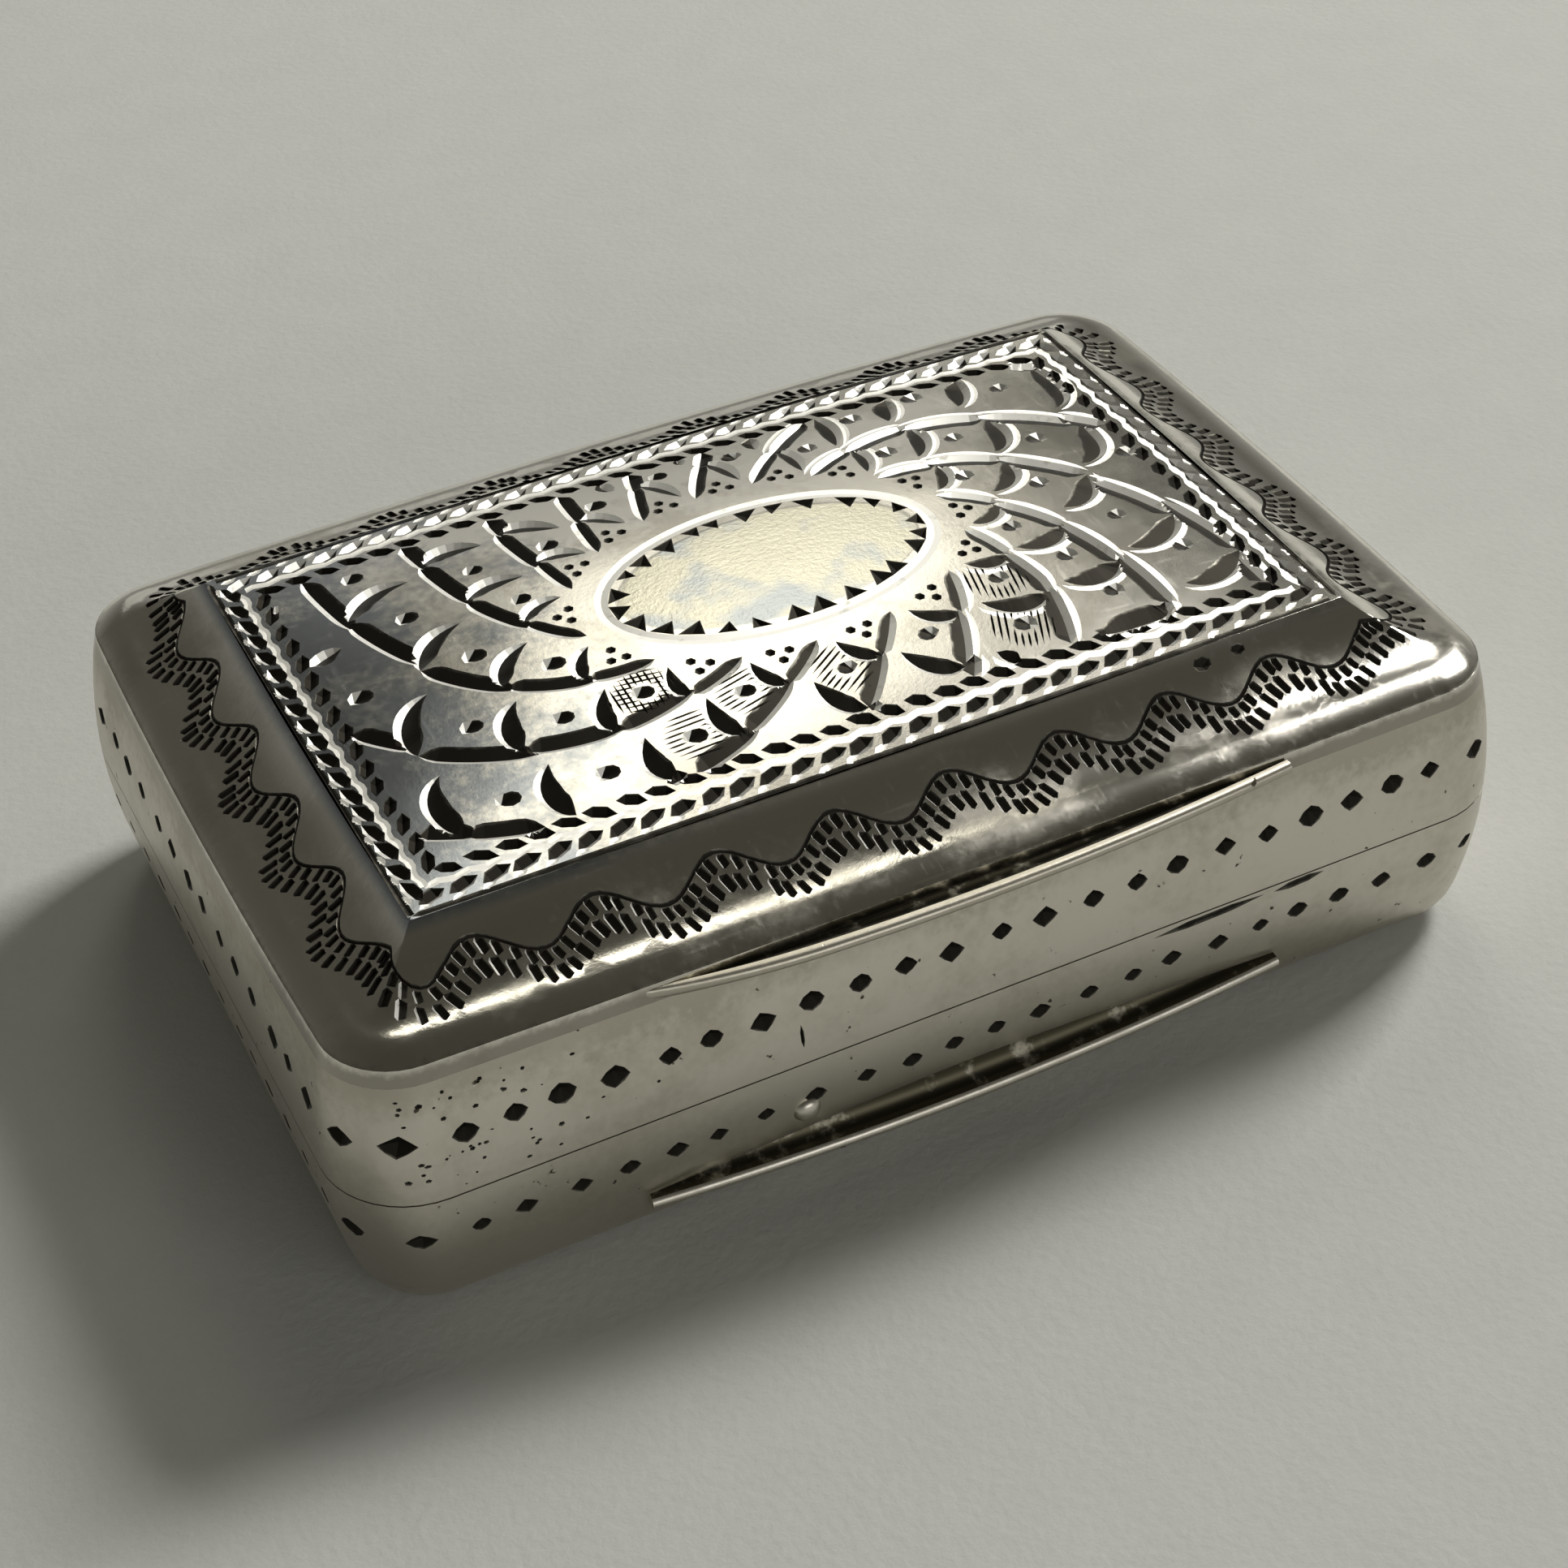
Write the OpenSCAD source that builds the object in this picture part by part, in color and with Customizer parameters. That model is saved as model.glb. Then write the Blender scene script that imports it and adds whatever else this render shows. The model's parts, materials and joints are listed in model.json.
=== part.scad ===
// Silver vinaigrette: a small hinged scent box with a pierced inner grille over a sponge.
// Millimetres. Z is up from the table, X runs along the box and the front faces minus Y.
// Profiles are drawn as [u, z], where u is measured outward from the lid's top edge,
// and are swept round the rounded rectangle of the plan.

/* [Box] */
// Length over the lid's top edge
box_l = 35; // [30:0.5:44]
// Width over the lid's top edge
box_w = 23.4; // [21:0.2:30]
// Corner radius in plan at the lid's top edge
corner_r = 2; // [1.2:0.1:2.8]
// How far the side walls swell out at the seam
bulge = 0.65; // [0.4:0.05:0.9]
// Thickness of the silver sheet
sheet_t = 0.6; // [0.45:0.05:0.75]
// Open line between the lid and the base
seam_gap = 0.05; // [0.03:0.01:0.15]
// Film of solder between two pieces that are joined on a curve
solder = 0.02; // [0.01:0.01:0.04]

/* [Base] */
// Height of the seam above the table
seam_z = 4.9; // [4.6:0.1:6]
// Radius of the rounded lower edge
foot_r = 1.7; // [1.3:0.1:2]
// Height of the inner rim above the seam
bezel_up = 0.9; // [0.5:0.1:1.2]
// Depth of the inner rim below the seam
bezel_dn = 0.85; // [0.4:0.05:0.9]
// Thickness of the inner rim
bezel_t = 0.45; // [0.3:0.05:0.6]
// Clearance between the inner rim and the lid
bezel_gap = 0.06; // [0.04:0.01:0.15]

/* [Lid] */
// Height of the lid's wall from the seam to its top edge
lid_h = 4.3; // [3.6:0.1:5.5]
// Depth of the top plate's turned edge
edge_t = 0.5; // [0.3:0.05:0.8]
// Width of the rounded band inside the top edge
edge_w = 0.9; // [0.6:0.05:1.3]
// Rise of that band
edge_rise = 0.32; // [0.2:0.02:0.45]
// Width of the hollow slope between band and panel
cove_w = 2.4; // [1.8:0.1:3]
// Rise of the hollow slope
cove_rise = 1.1; // [0.7:0.05:1.4]
// Slope in degrees where band and hollow meet
land_slope = 6; // [2:1:10]
// Crown of the raised panel
crown = 0.9; // [0.4:0.05:1.3]

/* [Lips] */
// Length of both finger lips
lip_l = 20; // [12:0.5:24]
// How far the lid's lip stands out at its middle
lid_lip_out = 0.9; // [0.7:0.05:1.2]
// How far the base's lip stands out at its middle
base_lip_out = 1.15; // [0.95:0.05:1.4]
// How much less both lips stand out at their ends
lip_bow = 0.5; // [0.25:0.05:0.6]
// Height of the lid's lip
lid_lip_h = 1.3; // [1:0.1:1.8]
// Height of the base's lip
base_lip_h = 1.5; // [1.2:0.1:1.8]
// Height of the base lip's foot above the table
base_lip_z = 1.5; // [1.35:0.05:1.8]
// Radius of both lips' edges
lip_nose = 0.2; // [0.12:0.02:0.28]

/* [Lid hinge] */
// Length of the hinge
hinge_l = 25; // [18:0.5:27]
// Radius of the knuckles
knuckle_r = 0.7; // [0.6:0.02:0.8]
// Gap between neighbouring knuckles
knuckle_gap = 0.08; // [0.05:0.01:0.2]
// Clearance round a knuckle that turns past the other wall
run_gap = 0.08; // [0.05:0.01:0.15]
// How far the axis lies outside the back wall
hinge_out = 0.1; // [0.05:0.01:0.2]
// Radius of the hinge pin
pin_r = 0.3; // [0.22:0.02:0.4]
// Clearance of the pin in its knuckles
pin_gap = 0.02; // [0.01:0.01:0.05]
// Height of the bearers that back the hinge
bearer_h = 1.5; // [1.2:0.1:1.8]
// Thickness of the bearers
bearer_t = 1; // [0.8:0.05:1.2]

/* [Grille] */
// Thickness of the pierced plate
grille_t = 0.45; // [0.3:0.05:0.6]
// Depth of the grille's axis below the seam
grille_dn = 0.6; // [0.55:0.01:0.7]
// Clearance round the plate inside the rim
grille_gap = 0.2; // [0.1:0.05:0.3]
// Clearance between the plate and the ledge under it
seat_gap = 0.05; // [0.03:0.01:0.1]
// Reach of the ledge in from the lid's top edge
ledge_in = 1.45; // [1.2:0.05:1.6]
// Thickness of the ledge
ledge_t = 0.5; // [0.3:0.05:0.6]
// Length of the grille's hinge
grille_hinge_l = 12; // [8:0.5:16]
// Radius of the grille's knuckles
grille_knuckle_r = 0.5; // [0.42:0.01:0.53]
// Clearance round the grille's knuckles
grille_run_gap = 0.12; // [0.08:0.01:0.2]
// Radius of the grille's pin
grille_pin_r = 0.2; // [0.14:0.02:0.26]
// Radius of the finger tab at the front of the grille
tab_r = 0.9; // [0.6:0.1:1.2]
// Thickness of the finger tab
tab_t = 0.3; // [0.2:0.05:0.32]
// Plain border round the piercing
pierce_border = 2.4; // [2.2:0.1:3]
// Pitch of the small holes along the border
bead_pitch = 1.4; // [1.2:0.1:2]
// Radius of the small holes
bead_hole_r = 0.36; // [0.25:0.02:0.42]
// Petals of the rosette
petals = 8; // [6:1:9]
// Length of a petal or leaf
leaf_l = 2.4; // [2:0.1:2.6]
// Radius of a petal's or leaf's round end
leaf_r = 0.52; // [0.4:0.02:0.55]
// Radius of the four scrolls
scroll_r = 2.2; // [1.8:0.1:2.3]
// Thickness of a scroll at its back
scroll_t = 0.75; // [0.5:0.05:0.9]
// Distance of the scrolls from the middle, along the box
scroll_x = 6.9; // [6.6:0.1:7.2]
// Distance of the scrolls from the middle, across the box
scroll_y = 3.2; // [3:0.1:3.5]

/* [Sponge] */
// Inset of the sponge from the lid's top edge
sponge_in = 2; // [1.8:0.1:2.6]
// Thickness of the sponge
sponge_h = 3; // [2:0.1:3]
// Corner radius of the sponge
sponge_r = 1.5; // [1:0.1:2.5]

/* [Hidden] */
$fn = 64;

// Steps in a swept arc and along a lip, and cells of the crowned panel along and across
arc_n = 8;
lip_n = 20;
panel_nx = 12;
panel_ny = 8;

// A reach past every side of the box, for the tools that cut it
past = box_l;

// Spacing of the grid that a swept profile's points lie on
grid = 0.001;

// Heights, and the circle of the swelling wall
lid_z = seam_z + seam_gap;
rim_z = seam_z + lid_h;
edge_z = rim_z - edge_t;
wall_r = (lid_h * lid_h + bulge * bulge) / (2 * bulge);
wall_c = bulge - wall_r;
inner_r = wall_r - sheet_t;

// The rounded lower edge is tangent to the wall and to the table
foot_c = wall_c + sqrt(pow(wall_r - foot_r, 2) - pow(seam_z - foot_r, 2));
foot_a = asin((seam_z - foot_r) / (wall_r - foot_r));
foot_z = foot_r * (1 - sin(foot_a));
foot_in_r = foot_r - sheet_t;
foot_in_a = asin((foot_r - foot_z) / foot_in_r);

// The margin of the lid: a rounded band, then a hollow slope up to the panel
margin = edge_w + cove_w;
panel_z = rim_z + edge_rise + cove_rise;
panel_x = box_l / 2 - margin;
panel_y = box_w / 2 - margin;
band_a = atan2(edge_rise, edge_w);
band_r = norm([edge_w, edge_rise]) / (2 * sin(band_a - land_slope));
cove_a = atan2(cove_rise, cove_w);
cove_r = norm([cove_w, cove_rise]) / (2 * sin(cove_a - land_slope));

// The sweep's sides are mitred as far in as the deepest profile reaches
mitre_d = margin;

// The lid's hinge
hinge_y = box_w / 2 + bulge + hinge_out;
hinge_z = seam_z + seam_gap / 2;
knuckle_l = (hinge_l - 4 * knuckle_gap) / 5;
function knuckle_x(i) = i * (knuckle_l + knuckle_gap) - hinge_l / 2;

// Inner faces of the walls and of the rim, as u
bezel_u = bulge - sheet_t - bezel_gap - bezel_t;
bearer_y = box_w / 2 + wall_u(seam_z - bearer_h, inner_r) - solder;
bearer_face = bearer_y - bearer_t;

// The grille and its hinge
grille_z = seam_z - grille_dn;
grille_top = grille_z + grille_t / 2;
grille_y = bearer_face - grille_run_gap - grille_knuckle_r;
grille_back = grille_y - grille_knuckle_r - grille_run_gap;
grille_x = box_l / 2 + bezel_u - grille_gap;
grille_front = -(box_w / 2 + bezel_u - grille_gap);
grille_mid = (grille_back + grille_front) / 2;
grille_half = (grille_back - grille_front) / 2;
grille_corner = corner_r + bezel_u - grille_gap;
grille_third = (grille_hinge_l - 2 * knuckle_gap) / 3;
ledge_z = grille_z - grille_t / 2 - seat_gap;

// The outer or inner face of the wall at a height
function wall_u(z, r) = wall_c + sqrt(r * r - (z - seam_z) * (z - seam_z));
function steps(a, b, n) = [for (i = [0:n]) a + (b - a) * i / n];
function wall_line(z0, z1, r, n) = [for (z = steps(z0, z1, n)) [wall_u(z, r), z]];
function foot_line(r, a0, a1) =
    [for (a = steps(a0, a1, arc_n)) [foot_c + r * cos(a), foot_r - r * sin(a)]];

// The lid's margin from its edge to the panel, raised or lowered by a step
function band_line(dz) = [for (a = steps(2 * band_a - land_slope, land_slope, 5)) [
    -(edge_w + band_r * (sin(land_slope) - sin(a))),
    rim_z + edge_rise + band_r * (cos(a) - cos(land_slope)) + dz
]];
function cove_line(dz) = [for (a = steps(land_slope, 2 * cove_a - land_slope, arc_n)) [
    -(edge_w + cove_r * (sin(a) - sin(land_slope))),
    rim_z + edge_rise + cove_r * (cos(land_slope) - cos(a)) + dz
]];
function reversed(p) = [for (i = [len(p) - 1:-1:0]) p[i]];
function tail(p) = [for (i = [1:len(p) - 1]) p[i]];

// Outlines of the swept pieces
base_out = wall_line(foot_z, seam_z, wall_r, arc_n);
foot_out = foot_line(foot_r, foot_a, 90);
lid_out = wall_line(lid_z, edge_z, wall_r, arc_n);
edge_out = wall_line(edge_z, rim_z, wall_r, 2);
margin_out = concat(band_line(0), tail(cove_line(0)));
edge_in = wall_u(edge_z, inner_r);
margin_in = [for (p = concat(band_line(-sheet_t), tail(cove_line(-sheet_t)))) if (p[0] < edge_in) p];

// One straight side of a sweep, which faces minus Y, cut off at its mitres
module side(pts, along, across) {
    cx = along / 2 - corner_r;
    cy = across / 2 - corner_r;
    mx = along / 2 - mitre_d;
    my = across / 2 - mitre_d;
    intersection() {
        translate([-along / 2, -across / 2, 0])
            rotate([90, 0, 90])
                linear_extrude(along)
                    polygon([for (p = pts) [-p[0], p[1]]]);
        translate([0, 0, -past])
            linear_extrude(2 * past)
                polygon([[-cx, -across], [cx, -across], [cx, -cy], [mx, -my], [-mx, -my], [-cx, -cy]]);
    }
}

// A profile swept round the plan, with its points on a fine grid so that sides and corners meet exactly
function on_grid(pts) = [for (p = pts) [grid * round(p[0] / grid), grid * round(p[1] / grid)]];
module sweep(profile) {
    pts = on_grid(profile);
    for (a = [0, 180]) {
        rotate(a) side(pts, box_l, box_w);
        rotate(a + 90) side(pts, box_w, box_l);
    }
    for (i = [0:3]) {
        sx = (i == 0 || i == 3) ? 1 : -1;
        sy = i < 2 ? 1 : -1;
        translate([sx * (box_l / 2 - corner_r), sy * (box_w / 2 - corner_r), 0])
            rotate(90 * i)
                rotate_extrude(angle = 90)
                    intersection() {
                        polygon([for (p = pts) [corner_r + p[0], p[1]]]);
                        translate([0, -past]) square(2 * past);
                    }
    }
}

// A rounded rectangle in plan
module plan(x, y, r) {
    square([2 * x, 2 * (y - r)], center = true);
    square([2 * (x - r), 2 * y], center = true);
    for (sx = [-1, 1], sy = [-1, 1])
        translate([sx * (x - r), sy * (y - r)]) circle(r);
}

// A round bar along X on the axis of the lid's hinge, or of the grille's
module lid_axis(x, l, r) {
    translate([x, hinge_y, hinge_z]) rotate([0, 90, 0]) cylinder(r = r, h = l);
}
module grille_axis(x, l, r) {
    translate([x, grille_y, grille_z]) rotate([0, 90, 0]) cylinder(r = r, h = l);
}

// Room for the knuckles: close round those of the same body, free round the others
module hinge_room(own, others) {
    for (i = own) lid_axis(knuckle_x(i), knuckle_l, knuckle_r + solder);
    for (i = others)
        lid_axis(knuckle_x(i) - knuckle_gap, knuckle_l + 2 * knuckle_gap, knuckle_r + run_gap);
}
module base_hinge_room() {
    hinge_room([0, 2, 4], [1, 3]);
}
module lid_hinge_room() {
    hinge_room([1, 3], [0, 2, 4]);
}

// One knuckle of the lid's hinge, bored for the pin
module knuckle(i) {
    difference() {
        lid_axis(knuckle_x(i), knuckle_l, knuckle_r);
        lid_axis(knuckle_x(i) - knuckle_l, 3 * knuckle_l, pin_r + pin_gap);
    }
}

// A bowed lip: its section is carried along a shallow arc, seen from above
module lip(out, section) {
    r = (lip_l * lip_l / 4 + lip_bow * lip_bow) / (2 * lip_bow);
    half = asin(lip_l / 2 / r);
    m = len(section);
    last = lip_n * m;
    pts = [for (a = steps(-half, half, lip_n), p = section) [
        (r - out + p[0]) * sin(a),
        r - box_w / 2 - out - (r - out + p[0]) * cos(a),
        p[1]
    ]];
    skin = [for (k = [0:lip_n - 1], i = [0:m - 1])
        let (a = k * m + i, b = k * m + (i + 1) % m)
            each [[a, b, b + m], [a, b + m, a + m]]];
    caps = [for (i = [0:m - 3]) each [
        [m - 1, i + 1, i],
        [last + m - 1, last + i, last + i + 1]
    ]];
    polyhedron(pts, concat(skin, caps));
}
// The front face of the box as a block behind a lip
module front_block(pts) {
    side(concat(pts, [[-corner_r, pts[len(pts) - 1][1]], [-corner_r, pts[0][1]]]), box_l, box_w);
}
function nose(u, z) = [for (a = [70, 45, 20, 0, -20, -45]) [u - lip_nose * (1 - cos(a)), z + lip_nose * sin(a)]];

// Base
module base_wall() {
    color("silver")
        difference() {
            sweep(concat(base_out, reversed(wall_line(foot_z, seam_z, inner_r, arc_n))));
            base_hinge_room();
        }
}
module base_plate() {
    color("silver") {
        sweep(concat(
            foot_out,
            [[-mitre_d, 0], [-mitre_d, sheet_t]],
            foot_line(foot_in_r, 90, foot_in_a)
        ));
        translate([-panel_x, -panel_y, 0]) cube([2 * panel_x, 2 * panel_y, sheet_t]);
    }
}
module base_lip() {
    z0 = base_lip_z;
    z1 = base_lip_z + base_lip_h;
    color("silver")
        difference() {
            lip(base_lip_out, concat(
                [[-sheet_t, z1], [wall_u(z1, wall_r) - lip_nose, z1]],
                [[(wall_u(z1, wall_r) + base_lip_out) / 2 - lip_nose, (z0 + z1) / 2]],
                nose(base_lip_out, z0 + 2 * lip_nose),
                [[-sheet_t, z0]]
            ));
            front_block(base_out);
        }
}
module base_bezel() {
    top = seam_z + bezel_up;
    low = seam_z - bezel_dn;
    out_low = [for (p = wall_line(low, seam_z, inner_r, 2)) [p[0] - solder, p[1]]];
    out_top = [for (p = wall_line(seam_z, top, inner_r, 2)) [p[0] - bezel_gap, p[1]]];
    color("silver")
        difference() {
            sweep(concat(out_low, out_top, [[bezel_u, top], [bezel_u, low]]));
            translate([-hinge_l / 2 - bezel_gap, 0, -past])
                cube([hinge_l + 2 * bezel_gap, past, 3 * past]);
        }
}
module base_hinge_bearer() {
    color("silver")
        difference() {
            translate([-hinge_l / 2, bearer_face, seam_z - bearer_h]) cube([hinge_l, bearer_t, bearer_h]);
            base_hinge_room();
        }
}
module base_knuckle_left() {
    color("silver") knuckle(0);
}
module base_knuckle_middle() {
    color("silver") knuckle(2);
}
module base_knuckle_right() {
    color("silver") knuckle(4);
}
module lid_hinge_pin() {
    color("gray") lid_axis(-hinge_l / 2, hinge_l, pin_r);
}

// Ledge, brackets and pin that carry the grille
module grille_ledge() {
    room = grille_hinge_l / 2 + grille_run_gap;
    low = ledge_z - ledge_t;
    out = wall_u(low, inner_r) - solder;
    color("silver")
        difference() {
            sweep([[-ledge_in, low], [out, low], [out, ledge_z], [-ledge_in, ledge_z]]);
            translate([-hinge_l / 2 - bezel_gap, bearer_face - bezel_gap, -past])
                cube([hinge_l + 2 * bezel_gap, past, 3 * past]);
            translate([-room, 0, -past]) cube([2 * room, past, 3 * past]);
        }
}
module grille_bracket(x) {
    color("goldenrod")
        difference() {
            union() {
                grille_axis(x, grille_third, grille_knuckle_r);
                translate([x, grille_y, grille_z - grille_t / 2])
                    cube([grille_third, bearer_face - grille_y, grille_t]);
            }
            grille_axis(x - grille_third, 3 * grille_third, grille_pin_r + pin_gap);
        }
}
module grille_bracket_left() {
    grille_bracket(-grille_hinge_l / 2);
}
module grille_bracket_right() {
    grille_bracket(grille_hinge_l / 2 - grille_third);
}
module grille_hinge_pin() {
    color("gray") grille_axis(-grille_hinge_l / 2, grille_hinge_l, grille_pin_r);
}
module sponge() {
    color("khaki")
        translate([0, 0, sheet_t])
            linear_extrude(sponge_h)
                plan(box_l / 2 - sponge_in, box_w / 2 - sponge_in, sponge_r);
}

// Lid
module lid_wall() {
    color("silver")
        difference() {
            sweep(concat(lid_out, reversed(wall_line(lid_z, edge_z, inner_r, arc_n))));
            lid_hinge_room();
        }
}
function panel_pt(i, j, dz) = [
    panel_x * (2 * i / panel_nx - 1),
    panel_y * (2 * j / panel_ny - 1),
    panel_z + dz
        + crown * (1 - pow(2 * i / panel_nx - 1, 2)) * (1 - pow(2 * j / panel_ny - 1, 2))
];
function edge_pair(a, b, n) = [[a, b, b + n], [a, b + n, a + n]];
module panel() {
    nx = panel_nx;
    ny = panel_ny;
    row = nx + 1;
    count = row * (ny + 1);
    top = [for (j = [0:ny], i = [0:nx]) panel_pt(i, j, 0)];
    low = [for (j = [0:ny], i = [0:nx]) panel_pt(i, j, -sheet_t)];
    cells = [for (j = [0:ny - 1], i = [0:nx - 1]) j * row + i];
    faces = concat(
        [for (c = cells) each [[c, c + row, c + 1], [c + 1, c + row, c + row + 1]]],
        [for (c = cells) each [
            [count + c, count + c + 1, count + c + row],
            [count + c + 1, count + c + row + 1, count + c + row]
        ]],
        [for (i = [0:nx - 1]) each edge_pair(i, i + 1, count)],
        [for (i = [0:nx - 1]) each edge_pair(ny * row + i + 1, ny * row + i, count)],
        [for (j = [0:ny - 1]) each edge_pair((j + 1) * row, j * row, count)],
        [for (j = [0:ny - 1]) each edge_pair(j * row + nx, (j + 1) * row + nx, count)]
    );
    polyhedron(concat(top, low), faces);
}
module lid_plate() {
    color("silver") {
        sweep(concat(
            edge_out,
            tail(margin_out),
            reversed(margin_in),
            [[edge_in, margin_in[0][1]], [edge_in, edge_z]]
        ));
        panel();
    }
}
module lid_lip() {
    z1 = rim_z - lip_nose / 2;
    z0 = rim_z - lid_lip_h;
    color("silver")
        difference() {
            lip(lid_lip_out, concat(
                [[-sheet_t, z1]],
                nose(lid_lip_out, z1 - lip_nose),
                [[(wall_u(z0, wall_r) + lid_lip_out) / 2, (z0 + z1) / 2 - lip_nose]],
                [[wall_u(z0, wall_r) - lip_nose, z0], [-sheet_t, z0]]
            ));
            front_block(concat(lid_out, tail(edge_out)));
        }
}
module lid_hinge_bearer() {
    color("silver")
        difference() {
            translate([-hinge_l / 2, bearer_face, lid_z]) cube([hinge_l, bearer_t, bearer_h]);
            lid_hinge_room();
        }
}
module lid_knuckle_left() {
    color("silver") knuckle(1);
}
module lid_knuckle_right() {
    color("silver") knuckle(3);
}

// Grille: a leaf or petal points toward the middle and ends round
module leaf() {
    tip = leaf_l - leaf_r;
    a = asin(leaf_r / tip);
    translate([tip, 0]) circle(leaf_r);
    polygon([[0, 0], [tip - leaf_r * sin(a), leaf_r * cos(a)], [tip - leaf_r * sin(a), -leaf_r * cos(a)]]);
}
module rosette() {
    circle(leaf_r * 1.3);
    for (i = [0:petals - 1]) rotate(360 / petals * i) translate([leaf_r * 2.6, 0]) leaf();
}
module scroll() {
    difference() {
        circle(scroll_r);
        translate([-scroll_t, 0]) circle(scroll_r);
    }
    circle(leaf_r);
}
module quarter_piercing(x, y) {
    translate([scroll_x, scroll_y]) rotate(25) scroll();
    translate([x - 3.4 * leaf_r - leaf_l, 2.3 * leaf_r]) rotate(28) leaf();
    translate([2.6 * leaf_r, y - 2 * leaf_r - leaf_l]) rotate(58) leaf();
    translate([x - 3.2 * leaf_r, y - 3.6 * leaf_r]) {
        circle(leaf_r);
        translate([-2.6 * leaf_r, 0.6 * leaf_r]) circle(leaf_r * 0.8);
        translate([0.6 * leaf_r, -2.6 * leaf_r]) circle(leaf_r * 0.8);
    }
}
module piercing() {
    x = grille_x - pierce_border;
    y = grille_half - pierce_border;
    nx = floor(x / bead_pitch);
    ny = floor(y / bead_pitch);
    rosette();
    for (sx = [-1, 1]) translate([sx * (x - 3 * leaf_r - leaf_l), 0]) rotate(sx > 0 ? 0 : 180) leaf();
    for (mx = [0, 1], my = [0, 1]) mirror([mx, 0]) mirror([0, my]) quarter_piercing(x, y);
    for (sy = [-1, 1], i = [-nx:nx]) translate([i * bead_pitch, sy * y]) circle(bead_hole_r);
    for (sx = [-1, 1], j = [-ny + 1:ny - 1]) translate([sx * x, j * bead_pitch]) circle(bead_hole_r);
}
module grille_plate() {
    color("gold")
        translate([0, grille_mid, grille_z - grille_t / 2])
            linear_extrude(grille_t)
                difference() {
                    plan(grille_x, grille_half, grille_corner);
                    piercing();
                }
}
module grille_knuckle() {
    x = -grille_third / 2;
    color("gold")
        difference() {
            union() {
                grille_axis(x, grille_third, grille_knuckle_r);
                translate([x, grille_back, grille_z - grille_t / 2])
                    cube([grille_third, grille_y - grille_back, grille_t]);
            }
            grille_axis(x - grille_third, 3 * grille_third, grille_pin_r + pin_gap);
        }
}
module grille_tab() {
    color("gold")
        translate([0, grille_front + tab_r / 2, grille_top])
            linear_extrude(tab_t)
                intersection() {
                    circle(tab_r);
                    translate([-tab_r, 0]) square([2 * tab_r, tab_r]);
                }
}

base_wall();
base_plate();
base_lip();
base_bezel();
base_hinge_bearer();
base_knuckle_left();
base_knuckle_middle();
base_knuckle_right();
lid_hinge_pin();
grille_ledge();
grille_bracket_left();
grille_bracket_right();
grille_hinge_pin();
sponge();
lid_wall();
lid_plate();
lid_lip();
lid_hinge_bearer();
lid_knuckle_left();
lid_knuckle_right();
grille_plate();
grille_knuckle();
grille_tab();
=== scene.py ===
# %% [markdown]
# # A small silver box for scented vinegar
# This lesson dresses a vinaigrette, a silver box that a person carried in a pocket. Under its lid
# a gilt grille holds down a sponge that was wetted with perfumed vinegar. The solids of the box,
# with their hinges, come ready made. Blender gives them their engraving, their finish and light.

# %% Load the solids
import json
import math
import random
from collections import defaultdict

import bpy
import numpy as np
from mathutils import Matrix, Vector, noise
from mathutils.geometry import delaunay_2d_cdt
from mathutils.kdtree import KDTree

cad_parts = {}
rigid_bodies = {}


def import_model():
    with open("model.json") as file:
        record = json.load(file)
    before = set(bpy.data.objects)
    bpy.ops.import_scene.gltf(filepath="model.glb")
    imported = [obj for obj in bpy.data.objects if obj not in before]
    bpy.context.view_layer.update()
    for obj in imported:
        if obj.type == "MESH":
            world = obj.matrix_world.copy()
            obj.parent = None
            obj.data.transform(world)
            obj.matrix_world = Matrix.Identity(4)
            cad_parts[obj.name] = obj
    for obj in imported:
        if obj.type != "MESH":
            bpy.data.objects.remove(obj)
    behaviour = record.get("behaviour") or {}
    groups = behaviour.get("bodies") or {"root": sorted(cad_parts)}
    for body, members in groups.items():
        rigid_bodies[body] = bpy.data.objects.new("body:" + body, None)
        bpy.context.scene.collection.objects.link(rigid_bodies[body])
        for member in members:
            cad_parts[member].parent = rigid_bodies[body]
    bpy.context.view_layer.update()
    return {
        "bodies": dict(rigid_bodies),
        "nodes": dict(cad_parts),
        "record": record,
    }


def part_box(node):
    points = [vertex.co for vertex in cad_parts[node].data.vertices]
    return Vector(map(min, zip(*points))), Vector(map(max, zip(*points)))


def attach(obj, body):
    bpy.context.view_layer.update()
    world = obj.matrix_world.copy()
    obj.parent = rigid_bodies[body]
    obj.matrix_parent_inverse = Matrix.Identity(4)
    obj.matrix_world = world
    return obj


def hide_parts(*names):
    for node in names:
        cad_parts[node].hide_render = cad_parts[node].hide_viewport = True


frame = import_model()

MM = 0.001
dice = random.Random(7)
print("solids:", len(frame["nodes"]), "bodies:", sorted(frame["bodies"]))

# %% [markdown]
# ## Sizes
# Every length in this lesson is in millimetres, and a mesh is turned into metres when it is built.
# The box is drawn as a rounded rectangle, the rim of the lid, and everything is measured outwards
# or inwards from that line. The walls swell: they are widest at the seam between lid and base.

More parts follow.
